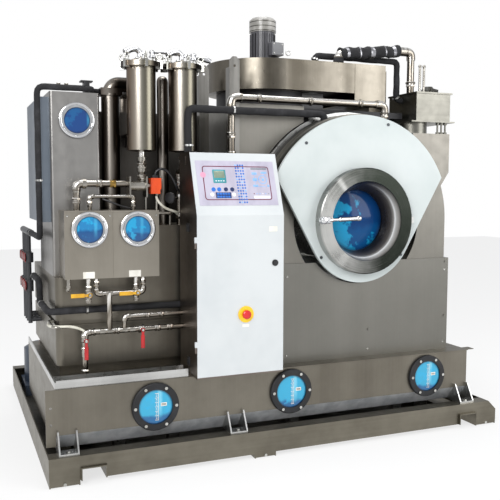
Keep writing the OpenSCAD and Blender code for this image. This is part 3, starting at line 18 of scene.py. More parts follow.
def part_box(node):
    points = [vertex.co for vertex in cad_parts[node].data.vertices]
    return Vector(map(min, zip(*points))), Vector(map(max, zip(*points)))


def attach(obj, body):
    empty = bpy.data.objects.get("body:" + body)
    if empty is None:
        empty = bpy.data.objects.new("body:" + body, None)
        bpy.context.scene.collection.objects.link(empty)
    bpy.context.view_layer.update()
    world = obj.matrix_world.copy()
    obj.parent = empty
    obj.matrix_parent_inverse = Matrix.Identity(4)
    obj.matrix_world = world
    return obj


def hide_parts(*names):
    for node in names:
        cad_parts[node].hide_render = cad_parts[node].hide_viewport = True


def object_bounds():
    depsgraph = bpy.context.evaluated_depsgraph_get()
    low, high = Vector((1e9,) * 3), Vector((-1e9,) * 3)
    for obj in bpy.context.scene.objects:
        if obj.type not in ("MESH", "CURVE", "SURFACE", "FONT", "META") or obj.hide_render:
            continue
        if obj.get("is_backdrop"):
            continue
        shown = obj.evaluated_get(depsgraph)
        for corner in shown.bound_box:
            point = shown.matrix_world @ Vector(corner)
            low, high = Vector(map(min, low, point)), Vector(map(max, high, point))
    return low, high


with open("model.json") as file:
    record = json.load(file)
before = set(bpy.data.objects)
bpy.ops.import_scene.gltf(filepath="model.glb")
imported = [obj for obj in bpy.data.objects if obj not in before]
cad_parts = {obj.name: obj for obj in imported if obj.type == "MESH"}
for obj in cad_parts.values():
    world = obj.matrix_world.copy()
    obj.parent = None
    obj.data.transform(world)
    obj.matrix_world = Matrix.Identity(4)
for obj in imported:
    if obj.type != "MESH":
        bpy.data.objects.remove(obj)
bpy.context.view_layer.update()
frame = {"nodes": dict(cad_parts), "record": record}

nodes = frame["nodes"]

# %% [markdown]
# ## Camera
# The picture was taken from the left at eye height, with a lens a little longer than normal. The direction is
# written as three angles, because that is how a photographer would set a tripod head.

# %% Camera
CAMERA_AT = Vector((-1.8317, -4.705, 1.500))
CAMERA_YAW = math.radians(22.52)        # to the right of straight ahead
CAMERA_PITCH = math.radians(-4.81)      # looking slightly down
CAMERA_ROLL = math.radians(0.14)
SENSOR = 36.0                           # millimetres
FOCAL_PIXELS = 734.0                    # focal length in pixels of the picture
PICTURE = 500                           # its width in pixels
FAR_CLIP = 60                           # metres

level = math.cos(CAMERA_PITCH)
look = Vector((math.sin(CAMERA_YAW) * level, math.cos(CAMERA_YAW) * level, math.sin(CAMERA_PITCH)))
lens = bpy.data.cameras.new("camera")
lens.lens = FOCAL_PIXELS / PICTURE * SENSOR
lens.sensor_width = SENSOR
lens.clip_end = FAR_CLIP
camera = bpy.data.objects.new("camera", lens)
camera.location = CAMERA_AT
aim = look.to_track_quat("-Z", "Y") @ Quaternion((0, 0, 1), CAMERA_ROLL)
camera.rotation_euler = aim.to_euler()
bpy.context.scene.collection.objects.link(camera)
bpy.context.scene.camera = camera
print("lens", round(lens.lens, 1), "mm")

# %% [markdown]
# ## Shader sums as Python sums
# A finish is arithmetic on a place: how far along the grain, how near an edge, how dirty near the floor.
# Wrapping a socket in a small class lets that arithmetic be written as Python, and each operator adds its
# Math node.


# %% Wires: sockets that can be added and multiplied
class Wire:
    """A number that varies over a surface. Operators on wires add Math nodes to the same material."""

    def __init__(self, finish, socket):
        self.finish = finish
        self.socket = socket

    def math(self, operation, *values):
        return self.finish.node("ShaderNodeMath", {"operation": operation}, dict(enumerate((self,) + values)))

    def __rsub__(self, other):
        return self * -1.0 + other

    def size(self):
        return self.math("ABSOLUTE")

    def wave(self):
        return self.math("SINE")

    def cycle(self, length):
        """Distance from the middle of the cell that this value lies in, with cells of that length."""
        return ((self / length).math("FRACT") - 0.5).size() * length

    def ramp(self, low, high):
        """0 at low, 1 at high, and smooth in between."""
        return self.finish.node("ShaderNodeMapRange", {"interpolation_type": "SMOOTHSTEP"},
                                {"Value": self, "From Min": low, "From Max": high})


SIGNS = {"add": "ADD", "radd": "ADD", "mul": "MULTIPLY", "rmul": "MULTIPLY", "sub": "SUBTRACT",
         "truediv": "DIVIDE", "pow": "POWER", "gt": "GREATER_THAN", "lt": "LESS_THAN"}
for sign, operation in SIGNS.items():
    setattr(Wire, f"__{sign}__", lambda self, other, operation=operation: self.math(operation, other))


def tone(code):
    """A colour picked by its display code, as the linear values that shaders use."""
    parts = [int(code[i:i + 2], 16) / 255 for i in (1, 3, 5)]
    return tuple(p / 12.92 if p <= 0.04045 else ((p + 0.055) / 1.055) ** 2.4 for p in parts) + (1.0,)


class Finish:
    """One procedural material: a Principled shader whose sockets take wires, display codes or plain
    numbers."""

    def __init__(self, name, **constants):
        self.material = bpy.data.materials.new(name)
        self.material.use_nodes = True
        self.tree = self.material.node_tree
        self.shader = self.tree.nodes["Principled BSDF"]
        self.set(**constants)

    def node(self, kind, settings=None, inputs=None, output=0):
        """Adds one node: its settings first, then a value or a wire for each named or numbered socket."""
        made = self.tree.nodes.new(kind)
        for key, value in (settings or {}).items():
            setattr(made, key, value)
        for key, value in (inputs or {}).items():
            self.join(made.inputs[key], value)
        return Wire(self, made.outputs[output])

    def join(self, socket, value):
        if isinstance(value, Wire):
            self.tree.links.new(value.socket, socket)
        else:
            socket.default_value = tone(value) if isinstance(value, str) else value

    def set(self, **values):
        """Joins values to the shader's sockets; base_color stands for Base Color."""
        for key, value in values.items():
            self.join(self.shader.inputs[key.replace("_", " ").title().replace("Ior", "IOR")], value)
        return self

    def feeding(self, name):
        """The wire that already feeds one of the shader's sockets."""
        return Wire(self, self.shader.inputs[name].links[0].from_socket)

    def place(self, centre=(0, 0, 0)):
        """Where a point is on the piece, in metres from centre: the vector, then its three numbers."""
        where = self.node("ShaderNodeTexCoord", output=3)
        moved = self.node("ShaderNodeMapping", {"vector_type": "POINT"},
                          {"Vector": where, "Location": tuple(-c for c in centre)})
        parts = self.node("ShaderNodeSeparateXYZ", inputs={"Vector": moved}).socket.node
        return [moved] + [Wire(self, socket) for socket in parts.outputs]

    def noise(self, where, scale, stretch=(1, 1, 1), detail=3.0, rough=0.55, seed=0.0):
        """Cloudy noise from 0 to 1; scale is in bumps per metre, and stretch draws it out along an axis."""
        spread = self.node("ShaderNodeMapping", {"vector_type": "POINT"},
                           {"Vector": where, "Location": (seed, seed * 0.7, seed * 1.3), "Scale": stretch})
        return self.node("ShaderNodeTexNoise", {},
                         {"Vector": spread, "Scale": scale, "Detail": detail, "Roughness": rough})

    def blend(self, share, first, second):
        """The first colour where share is 0 and the second where it is 1."""
        return self.node("ShaderNodeMix", {"data_type": "RGBA", "clamp_factor": True},
                         {0: share, 6: first, 7: second}, output=2)

    def bands(self, share, stops):
        """The colour at share along a row of stops, each a place from 0 to 1 and a display code."""
        made = self.node("ShaderNodeValToRGB", inputs={0: share})
        row = made.socket.node.color_ramp.elements
        while len(row) < len(stops):
            row.new(1.0)
        for element, (at, code) in zip(row, stops):
            element.position = at
            element.color = tone(code)
        return made

    def bump(self, height, depth):
        """Tilts the surface by a height from 0 to 1 that stands for depth metres."""
        return self.set(normal=self.node("ShaderNodeBump", {}, {"Height": height, "Distance": depth}))


# %% [markdown]
# ## Finishes
# Nearly everything here is stainless sheet, so one recipe makes all the steels: fine grain drawn out along
# the brushing, broader bands of painted reflection that stand for what a brushed face gathers from the room,
# and cloudy marks from hands and cleaning. Each steel then differs in tone, in the way its grain runs and in
# how rough it is.

# %% The steel recipe
DRAWN = {"x": (0.02, 1.0, 1.0), "y": (1.0, 0.02, 1.0), "z": (1.0, 1.0, 0.02)}
BANDED = {"x": (0.05, 1.0, 1.0), "y": (1.0, 0.05, 1.0), "z": (1.0, 1.0, 0.05)}


def steel(name, dark, light, along="z", rough=0.36, bands=0.5, marks=0.4, grain=0.35, band_size=0.16,
          depth=0.00005, floor_dirt=0.0):
    """Brushed sheet: tone = grain + bands + marks, each centred on 0, spread between a dark and a light
    colour; the bands are a painted reflection of the room."""
    f = Finish(name, metallic=1.0)
    where, _, _, z = f.place()
    fine = f.noise(where, 700, DRAWN[along], detail=2.0) - 0.5
    streak = f.noise(where, 70, DRAWN[along], detail=3.0, seed=2.0) - 0.5
    # Painted reflection: broad bands for the room seen in a brushed face
    painted_reflection = f.noise(where, 1 / band_size, BANDED[along], detail=1.0, seed=5.0) - 0.5
    mark = f.noise(where, 2.6, detail=5.0, rough=0.62, seed=9.0) - 0.5
    share = 0.5 + fine * grain * 0.6 + streak * grain + painted_reflection * bands * 2.2 + mark * marks * 1.6
    colour = f.blend(share.ramp(0.0, 1.0), dark, light)
    if floor_dirt:
        dirt = (1.0 - z.ramp(0.0, 0.5)) * (f.noise(where, 9.0, detail=4.0, seed=4.0) * 0.9 + 0.2)
        colour = f.blend(dirt * floor_dirt, colour, "#3A3428")
    worn = f.noise(where, 22, detail=4.0, seed=6.0)
    f.set(base_color=colour, roughness=rough + (worn - 0.5) * 0.22 + fine * 0.12)
    return f.bump(fine * 0.5 + streak * 0.5 + 0.5, depth)


VIEW = (0.924, 0.383)                   # the cosine and sine of the camera's yaw


def upright_steel(name, centre, radius, stops):
    """Upright rolled sheet with a painted reflection: the tone follows how far a point lies to the right of
    the axis, as a share of the radius, because a polished cylinder shows the room as upright stripes. centre
    holds the left axis's x, the right one's x and their y; a point takes the nearer axis."""
    f = Finish(name, metallic=1.0)
    where, x, y, _ = f.place()
    left, right, back = centre
    middle = (x > (left + right) / 2) * (right - left) + left
    across = ((x - middle) * VIEW[0] - (y - back) * VIEW[1]) / radius
    soft = f.noise(where, 9, (1, 1, 0.25), detail=3.0) - 0.5
    colour = f.bands(across * 0.5 + 0.5 + soft * 0.06, stops)
    fine = f.noise(where, 500, DRAWN["z"], detail=2.0) - 0.5
    cloud = f.noise(where, 5, detail=4.0, seed=3.0)
    f.set(base_color=f.blend((cloud - 0.4) * 0.4 + fine * 0.12, colour, "#6A5F55"),
          roughness=0.3 + (cloud - 0.5) * 0.12)
    return f.bump(fine + 0.5, 0.00002)


FILTERS_AT = (-0.820, -0.583, -0.700)
# Painted reflection: the tones across a polished cylinder, from its left edge to its right
FILTER_REFLECTION = [(0.0, "#2E2119"), (0.06, "#6B5848"), (0.2, "#8F8172"), (0.36, "#A39A8E"), (0.5, "#AFAAA1"),
                (0.6, "#8F8B80"), (0.72, "#706C60"), (0.84, "#7D796C"), (0.93, "#3E3A33"), (1.0, "#151311")]
COLUMN_REFLECTION = [(0.0, "#1C1814"), (0.12, "#5C534B"), (0.3, "#948C84"), (0.5, "#A39D95"), (0.66, "#7D766E"),
                (0.85, "#4A443E"), (1.0, "#171412")]


def paint(name, colour, shade, rough=0.34, coat=0.25):
    """Sprayed enamel: nearly one colour, faint clouds, and the fine ripple of sprayed paint."""
    f = Finish(name, metallic=0.0, coat_roughness=0.18)
    where = f.place()[0]
    cloud = f.noise(where, 2.2, detail=4.0, rough=0.6)
    specks = f.noise(where, 160, detail=2.0, seed=3.0)
    scuff = f.noise(where, 34, (1, 1, 0.2), detail=5.0, seed=8.0).ramp(0.58, 0.78)
    f.set(base_color=f.blend(cloud.ramp(0.3, 0.75), colour, shade),
          roughness=rough + specks * 0.06 + scuff * 0.18, coat_weight=coat)
    return f.bump(specks, 0.00006)


def rubber(name, colour, dusty, rough=0.72, pores=420):
    """Foam or moulded rubber: soft black with dust lying on it and fine pores."""
    f = Finish(name)
    where = f.place()[0]
    dust = f.noise(where, 13, detail=5.0, rough=0.65).ramp(0.45, 0.8)
    pore = f.noise(where, pores, detail=3.0, seed=3.0)
    f.set(base_color=f.blend(dust * 0.7 + pore * 0.2, colour, dusty), roughness=rough + pore * 0.15)
    return f.bump(pore, 0.0004)


def plastic(name, colour, shade, rough=0.3, coat=0.0):
    """Moulded plastic: an even colour, faint flow marks and a satin skin."""
    f = Finish(name)
    where = f.place()[0]
    flow = f.noise(where, 18, (1, 1, 0.3), detail=3.0)
    skin = f.noise(where, 900, detail=1.0, seed=2.0)
    f.set(base_color=f.blend(flow.ramp(0.35, 0.75), colour, shade),
          roughness=rough + flow * 0.1 + skin * 0.05, coat_weight=coat)
    return f.bump(skin, 0.00003)


def plated(name, dark, light, rough=0.16):
    """Chrome or nickel: bright, with handling marks, a little tarnish and turning lines too fine to count."""
    f = Finish(name, metallic=1.0)
    where = f.place()[0]
    tarnish = f.noise(where, 15, detail=4.0, rough=0.55)
    fine = f.noise(where, 520, detail=2.0, seed=4.0)
    f.set(base_color=f.blend(tarnish.ramp(0.2, 0.8), dark, light),
          roughness=rough + (tarnish - 0.5) * 0.12 + fine * 0.04)
    return f.bump(fine, 0.000006)


# %% [markdown]
# The steels are told apart: the tray is brown and oily, the tank olive grey, the panels beside the
# drum a cooler grey, and the filters and ducts show strong upright bands. Each row below is a name and what
# its recipe takes, in the recipe's own order.

# %% Plain finishes
SHELF = {
    steel: [("tray_steel", "#5F5A50", "#948F82", "x", 0.4, 0.2, 0.6, 0.2, 0.16, 0.00005, 0.25),
            ("tank_steel", "#625D54", "#8D887D", "z", 0.4, 0.18, 0.4, 0.14),
            ("panel_steel", "#6E6C66", "#94918A", "z", 0.38, 0.16, 0.3, 0.12),
            ("bright_steel", "#9A9A98", "#DADAD8", "x", 0.3, 0.3, 0.5),
            ("drum_steel", "#8E8E8C", "#C6C6C4", "y", 0.24, 0.3),
            ("cabinet_steel", "#5E5650", "#8A8079", "z", 0.36, 0.3, 0.3, 0.14),
            ("aluminium", "#8B8C8A", "#B9BAB8", "x", 0.45, 0.1),
            ("cast_iron", "#2A2A2C", "#4A4A4C", "x", 0.55, 0.1, 0.8, 0.35, 0.16, 0.0003)],
    upright_steel: [("filter_steel", FILTERS_AT, 0.084, FILTER_REFLECTION),
                    ("column_steel", (-0.945, -0.945, -0.480), 0.053, COLUMN_REFLECTION),
                    ("shaft_steel", (-0.661, -0.661, -0.560), 0.033, COLUMN_REFLECTION)],
    plated: [("chrome", "#B4B6B8", "#E8E9EA", 0.12), ("bolt_zinc", "#A9A8A2", "#DADAD6", 0.22),
             ("pipe_nickel", "#8E8A82", "#B9B5AD", 0.26), ("brass", "#8A6A34", "#C9A963", 0.24),
             ("copper", "#7A4226", "#C07A50", 0.28), ("foil", "#6E6E72", "#B4B4B8", 0.34)],
    paint: [("white_paint", "#CBCFD0", "#BFC4C6", 0.36), ("motor_paint", "#77787C", "#55565A", 0.36),
            ("pump_paint", "#3F4A5A", "#2D3644", 0.4)],
    rubber: [("black_flange", "#121316", "#2B2C30", 0.5, 220), ("foam_rubber", "#141416", "#3A3A3E", 0.78),
             ("belt_rubber", "#0D0D0E", "#242426", 0.7), ("seal_rubber", "#101011", "#29292B", 0.62),
             ("filter_paper", "#D8D2C4", "#B8AF9C", 0.9, 160)],
    plastic: [("red_grip", "#C01A1E", "#8E0F14", 0.34, 0.3), ("yellow_grip", "#DFA91E", "#B5820F", 0.36, 0.3),
              ("yellow_collar", "#F4C81F", "#DDAE12", 0.32, 0.3),
              ("red_button", "#CF151C", "#A50E16", 0.28, 0.4),
              ("black_plastic", "#141416", "#26262A", 0.36, 0.2),
              ("orange_plastic", "#F0541A", "#C83E10", 0.36, 0.2),
              ("overlay_film", "#B8B4C4", "#A9A5B6", 0.3, 0.2),
              ("blue_glass", "#0F4FA0", "#083A7C", 0.08, 0.8), ("pale_label", "#E6E4DC", "#D6D3C8", 0.45),
              ("milky_hose", "#DAD8CC", "#BEBAA9", 0.35, 0.2), ("ticks_black", "#1B1B1D", "#2B2B2E", 0.5),
              ("wire_blue", "#2347A8", "#1B3885"), ("wire_grey", "#9A9CA0", "#85878B"),
              ("duct_grey", "#B9BCC0", "#A6A9AE"), ("print_maroon", "#6E1F3A", "#5C1730"),
              ("print_pink", "#D99BB4", "#C98AA4"), ("print_teal", "#2F8F98", "#277A83"),
              ("screen", "#7F8F7C", "#6B7A69", 0.12, 0.6), ("key_blue", "#2B6FC8", "#1F5AAB", 0.25),
              ("key_navy", "#1C2F62", "#152650", 0.25), ("key_white", "#EDEEF2", "#DEE0E6", 0.3),
              ("key_sky", "#8FB9E6", "#7BA8DA", 0.3), ("print_grey", "#8C8F98", "#7B7E88")],
}
F = {row[0]: recipe(*row) for recipe, rows in SHELF.items() for row in rows}
print("plain finishes:", len(F))


# %% [markdown]
# Some pieces need their finish to know the shape. The door ring was faced on a lathe, so its grain runs in
# circles; its funnel is polished, with a painted highlight at the lip and painted shade deeper in. Where one
# piece of the frame is made of two stuffs, or where light or shade is painted on part of it, the finish
# changes at a height or a depth that is known from the frame; the fan box's nearly black base is painted
# shadow under the scroll.


# %% Turned and two-part finishes
DRUM_AT = (0.465, 0.0, 1.308)           # the drum's axis, which runs front to back
DRUM_SHEET = 0.585                      # radius of the basket's sheet
DOOR_FACE = -0.975
RING_MOUTH = 0.235                      # radius where the door's flat face turns into the funnel
FUNNEL_DEPTH = 0.15
# Painted highlight at the funnel's lip and painted shade deeper in, by depth from the door's face
FUNNEL_LIGHT_AND_SHADE = [(0.0, "#7C7974"), (0.1, "#B4B2AE"), (0.2, "#F4F4F2"), (0.27, "#97948F"), (0.4, "#55514D"),
                (0.6, "#3D3936"), (0.8, "#1E1B1A"), (1.0, "#151312")]


def turned_steel(name, centre, mouth):
    """Lathe-faced steel: grain = noise of the radius alone, so it lies in circles, and a painted reflection
    swings the tone with the angle round the axis, as each side of a turned face reflects another part of the
    room;
    painted highlights lie at two angles. Inside the mouth a painted highlight and painted shade follow the
    depth, and painted shade darkens the side that faces away from the light."""
    f = Finish(name)
    where, x, y, z = f.place(centre)
    radius = (x * x + z * z) ** 0.5
    angle = z.math("ARCTAN2", x)
    line = f.node("ShaderNodeCombineXYZ", inputs={"X": radius, "Y": angle * 0.004})
    fine = f.noise(line, 900, detail=2.0) - 0.5
    ridge = f.noise(line, 160, detail=2.0, seed=3.0) - 0.5
    # Painted reflection and painted highlights, set by the angle round the axis
    reflection_sweep = (angle * 2.0 + 0.9).wave() * 0.12 + (angle - 1.85).wave() * 0.4
    marks = f.noise(where, 7, detail=5.0, seed=6.0) - 0.5
    glint = (2.0 - (angle - 2.25).size().ramp(0.0, 0.1) - (angle + 2.2).size().ramp(0.0, 0.16)) * 0.3
    share = 0.3 + fine * 0.25 + ridge * 0.3 + reflection_sweep + marks * 0.5 + glint
    face = f.blend(share.ramp(0.0, 1.0), "#2C302B", "#B4B4B1")
    funnel = 1.0 - radius.ramp(mouth - 0.004, mouth + 0.001)
    # Painted highlight and shade down the funnel, and painted shade on its side away from the light
    depth_light_and_shade = f.bands(y.ramp(DOOR_FACE, DOOR_FACE + FUNNEL_DEPTH) + marks * 0.1 + ridge * 0.05, FUNNEL_LIGHT_AND_SHADE)
    side = ((angle + 0.75).math("COSINE") * 0.6 + 0.5).ramp(0.0, 0.9)
    f.set(base_color=f.blend(funnel, face, f.blend(side, "#211D1C", depth_light_and_shade)), metallic=1.0 - funnel * 0.8,
          roughness=0.26 + fine * 0.1 + (marks + 0.2) * 0.15)
    return f.bump(ridge * 0.6 + fine * 0.4 + 0.5, 0.00007)


def perforated(name, centre, pitch=0.026, hole=0.0062):
    """Drum sheet: dark dots where the distance to the middle of a cell, of the arc length and the depth, is
    less than the hole's radius."""
    f = steel(name, "#A3A3A1", "#CFCFCD", "y", 0.28, 0.3, 0.4, 0.2)
    _, x, y, z = f.place(centre)
    arc = z.math("ARCTAN2", x) * DRUM_SHEET
    dot = ((arc.cycle(pitch) ** 2.0 + y.cycle(pitch) ** 2.0) ** 0.5 < hole) \
        * ((x * x + z * z) ** 0.5 > DRUM_SHEET - 0.01)
    return f.set(base_color=f.blend(dot, f.feeding("Base Color"), "#0B0B0C"))


def masked(base, colour, shade, pick, metallic=0.0, rough=0.5):
    """Changes a finish where pick(x, y, z) is 1: its colour, how metallic it is and how rough."""
    where, x, y, z = base.place()
    share = pick(x, y, z)
    cloud = base.noise(where, 12, detail=4.0, seed=11.0)
    other = base.blend(cloud.ramp(0.3, 0.7), colour, shade)
    before = base.shader.inputs["Metallic"].default_value
    return base.set(base_color=base.blend(share, base.feeding("Base Color"), other),
                    roughness=base.feeding("Roughness") * (1.0 - share) + share * rough,
                    metallic=share * (metallic - before) + before)


# Where one stuff ends and the next begins, or where painted light or shade starts, in metres of the frame
TANK_BEND = 0.2375                      # the tank's front leans back below this height
FACE_NEAR, FACE_FAR = -0.9545, -0.894   # the leaning front lies between these depths
TANK_LEFT, TANK_RIGHT = -1.3447, 1.2287
FAN_BASE_TOP, FAN_BASE_END = 2.0995, 0.5
CHAMBER_LOW, CHAMBER_END = 1.951, 0.9455
HOUSING_BACK, HOUSING_SHADE = -0.8, 1.3
SCREW_FACE = -0.9152                    # heads of the white plate's screws
VALVE_GRIPS = -1.3845
BOARD_BACK = -0.7395
DARK_FITTINGS = 1.112                   # those on the top box, right of this, are dark
COWL_LOW, FIN_LOW, FIN_HIGH, FIN_FRONT = 2.4995, 2.303, 2.494, -0.342
MOTOR_X, MOTOR_Y, MOTOR_R = 0.1, -0.25, 0.08


def fins(x, y, z):
    """Painted shade in the gaps between the motor's fins: cells of the arc length round its axis."""
    arc = (y - MOTOR_Y).math("ARCTAN2", x - MOTOR_X) * MOTOR_R
    return (arc.cycle(0.0118) < 0.0024) * (z < FIN_HIGH) * (z > FIN_LOW) * (y > FIN_FRONT)


fan_motor = masked(paint("motor_shell", "#6C6C70", "#55555A"), "#AFADA8", "#85837E",
                   lambda x, y, z: z > COWL_LOW, 1.0, 0.28)
# Painted shade between the fins
masked(fan_motor, "#1D1D20", "#141417", fins)
masked(fan_motor, "#5A5854", "#4A4844", lambda x, y, z: (z.cycle(0.028) < 0.0028) * (z > 2.5), 1.0, 0.4)
F["door_steel"] = turned_steel("door_steel", DRUM_AT, RING_MOUTH)
SPECIAL = {
    # Painted light: the tank's leaning lower front, which lies in shade, gets a lighter, more metallic tone
    "solvent_tank": masked(
        steel("solvent_tank_steel", "#625D54", "#8D887D", "z", 0.4, 0.18, 0.4, 0.14), "#C4C6C8", "#9FA2A6",
        lambda x, y, z: ((z < TANK_BEND) * (y > FACE_NEAR) * (y < FACE_FAR)
                         * (x > TANK_LEFT) * (x < TANK_RIGHT)), 0.35, 0.34),
    # Painted shadow: the fan's base below the scroll is coloured nearly black
    "blower_scroll": masked(
        steel("scroll_steel", "#565148", "#8F897E", "z", 0.32, 0.6, 0.4, 0.14, 0.14), "#111013", "#1E1B20",
        lambda x, y, z: (z < FAN_BASE_TOP) * (x < FAN_BASE_END)),
    # Painted shadow: the air chamber's top, under the fan, is coloured nearly black
    "air_duct": masked(
        steel("duct_steel", "#66635D", "#85827B", "z", 0.36, 0.2, 0.3, 0.12), "#17171A", "#222226",
        lambda x, y, z: (z > CHAMBER_LOW) * (x < CHAMBER_END)),
    # Painted shade: the tub's front high up behind the housing is darker, for the white plate's shadow
    "tub_front": masked(
        steel("tub_front_steel", "#6A6862", "#8E8B84", "z", 0.42, 0.16, 0.3, 0.12), "#3A3937", "#2C2B2A",
        lambda x, y, z: (y > HOUSING_BACK) * (z > HOUSING_SHADE), 0.3, 0.6),
    "front_plate": masked(paint("plate_paint", "#C4CBCA", "#B6BFBE", 0.36), "#55585C", "#3A3D40",
                          lambda x, y, z: y < SCREW_FACE, 1.0, 0.3),
    "side_valves": masked(paint("valve_paint", "#2C2D31", "#1C1D20", 0.5), "#8A1D1A", "#5E1210",
                          lambda x, y, z: x < VALVE_GRIPS, 0.0, 0.4),
    "control_boards": masked(plastic("boards", "#2C5A3C", "#1E4029", 0.5), "#C9CBC8", "#B2B4B1",
                             lambda x, y, z: y > BOARD_BACK, 0.6, 0.4),
    "top_pipes": masked(plated("top_pipe_plating", "#8C8982", "#B9B5AD", 0.26), "#2B2A22", "#3A3830",
                        lambda x, y, z: x > DARK_FITTINGS, 0.0, 0.45),
    "top_box": steel("box_steel", "#62615B", "#8E8C84", "x", 0.36, 0.3),
    "lower_panel": steel("lower_panel_steel", "#6A6963", "#8B8983", "z", 0.4, 0.14, 0.22, 0.09),
    "cooling_casing": steel("cooling_steel", "#4A4845", "#77736D", "z", 0.42, 0.6, 0.4, 0.12, 0.12),
    "side_casing": steel("side_steel", "#6F7984", "#929AA4", "z", 0.4, 0.25, 0.3, 0.12),
    "separator_tank": steel("separator_steel", "#8B857A", "#AFA99E", "z", 0.36, 0.22, 0.3, 0.12),
    "frame_posts": steel("post_steel", "#6A6864", "#A3A19C", "z", 0.34, 0.3, 0.4, 0.35, 0.03),
    "recovery_tank": steel("recovery_steel", "#8B8986", "#AFADAA", "z", 0.36, 0.2, 0.4, 0.12, 0.1),
    "basket": perforated("basket_steel", DRUM_AT),
    "blower_motor": fan_motor,
}

# %% Give every frame piece its finish
slots = {part["node"]: part["material_slot"] for part in frame["record"]["subparts"]}
for name, piece in nodes.items():
    finish = SPECIAL.get(name) or F.get(slots[name]) or F["panel_steel"]
    piece.data.materials.clear()
    piece.data.materials.append(finish.material)
print("dressed", len(nodes), "frame pieces;", len(SPECIAL), "with a finish of their own")

# %% [markdown]
# ## Surfaces from rings
# Every added piece is built from rings of points. Two neighbouring rings with the same number of points are
# joined by quads, and the first and last are closed by a cap. A turned knob, a bent hose and a plate with
# softened edges are then the same thing: they differ only in where their rings lie.

# %% Rings, tubes and plates
WAYS = {"front": ((1, 0, 0), (0, 0, 1)), "back": ((-1, 0, 0), (0, 0, 1)), "up": ((1, 0, 0), (0, 1, 0)),
        "left": ((0, -1, 0), (0, 0, 1)), "right": ((0, 1, 0), (0, 0, 1))}
UP = np.array((0.0, 0.0, 1.0))


def axes(way):
    """Two directions that span a face and the way it faces: the third is the cross product of the first
    two."""
    u, v = (np.array(d, float) for d in (WAYS[way] if isinstance(way, str) else way))
    return u, v, np.cross(u, v)


def facing(direction):
    """The same for any direction: u lies level, v completes the pair."""
    w = np.array(direction, float) / np.linalg.norm(direction)
    u = np.cross(UP, w) if abs(w[2]) < 0.99 else np.array((1.0, 0, 0))
    u /= np.linalg.norm(u)
    return u, np.cross(w, u)


def turned(profile, at, way="front", sides=32, start=0.0):
    """Lathe work: each (r, h) of the profile becomes the ring at + r (cos a u + sin a v) + h w."""
    u, v, w = axes(way)
    a = math.radians(start) + np.arange(sides) * 2 * math.pi / sides
    circle = np.cos(a)[:, None] * u + np.sin(a)[:, None] * v
    p = np.array(profile, float)
    return np.array(at, float) + p[:, 0, None, None] * circle + p[:, 1, None, None] * w


def outline(width, height, corner, steps=5):
    """A rectangle with round corners about its middle, anticlockwise: four quarter circles in a row."""
    a = np.linspace(0, 90, steps)
    turn = np.radians(np.concatenate([a + 90 * k for k in range(4)]))
    side = np.repeat(np.array([(1, 1), (-1, 1), (-1, -1), (1, -1)], float), steps, 0)
    middle = side * (np.array((width, height)) / 2 - corner)
    return middle + corner * np.stack([np.cos(turn), np.sin(turn)], -1)


def lay(points, at, way, h=0.0):
    """Flat points put on a face: at + x u + y v + h w."""
    u, v, w = axes(way)
    return np.array(at, float) + points[:, :1] * u + points[:, 1:2] * v + h * w


def plate(width, height, thick, at, way="front", corner=2.0, soft=0.6):
    """A plate whose front edge is eased: three outlines, the last drawn in by soft. at is on its back
    face."""
    inner = outline(width - 2 * soft, height - 2 * soft, max(corner - soft, 0.1))
    outer = outline(width, height, corner)
    return np.stack([lay(outer, at, way), lay(outer, at, way, thick - soft), lay(inner, at, way, thick)])


def hoop(outer, inner, thick, at, way="front"):
    """A flat frame between two outlines. The rings run over its outside, its face and its inside, and
    close."""
    return np.stack([lay(outer, at, way), lay(outer, at, way, thick), lay(inner, at, way, thick),
                     lay(inner, at, way)])


def disc(radius, sides=32):
    a = np.arange(sides) * 2 * math.pi / sides
    return radius * np.stack([np.cos(a), np.sin(a)], -1)


def tube(path, radius, sides=14):
    """Rings round a path. The ring's first axis is carried along by removing its part along the new
    direction, so it never spins. radius may be one number, one per point, or one per point and side."""
    path = np.array(path, float)
    ahead = np.gradient(path, axis=0)
    ahead /= np.linalg.norm(ahead, axis=1, keepdims=True)
    first = [np.cross(ahead[0], (0, 0, 1) if abs(ahead[0][2]) < 0.9 else (0, 1, 0))]
    for d in ahead:
        side = first[-1] - d * (first[-1] @ d)
        first.append(side / np.linalg.norm(side))
    first = np.array(first[1:])
    second = np.cross(ahead, first)
    a = np.arange(sides) * 2 * math.pi / sides
    spread = np.array(radius, float)
    spread = np.broadcast_to(spread if spread.ndim == 2 else spread.reshape(-1, 1), (len(path), sides))
    return path[:, None] + spread[..., None] * (np.cos(a)[None, :, None] * first[:, None]
                                               + np.sin(a)[None, :, None] * second[:, None])


def bent(route, bend, steps=8):
    """A route whose corners are rounded: each becomes a quadratic curve between points bend before and
    after."""
    p = [np.array(q, float) for q in route]
    t = np.linspace(0, 1, steps)[:, None]
    out = [p[0][None]]
    for before, corner, after in zip(p, p[1:], p[2:]):
        a = corner + (before - corner) / np.linalg.norm(before - corner) * bend
        b = corner + (after - corner) / np.linalg.norm(after - corner) * bend
        out.append((1 - t) ** 2 * a + 2 * t * (1 - t) * corner + t ** 2 * b)
    return np.concatenate(out + [p[-1][None]])


def spline(points, steps=10):
    """A Catmull-Rom curve: between p1 and p2 it is a cubic whose slopes come from p0..p2 and p1..p3."""
    p = np.array([points[0]] + list(points) + [points[-1]], float)
    t = np.linspace(0, 1, steps, endpoint=False)[:, None]
    parts = [0.5 * (2 * b + (c - a) * t + (2 * a - 5 * b + 4 * c - d) * t ** 2
                    + (3 * b - a - 3 * c + d) * t ** 3)
             for a, b, c, d in zip(p, p[1:], p[2:], p[3:])]
    return np.concatenate(parts + [p[-1:]])


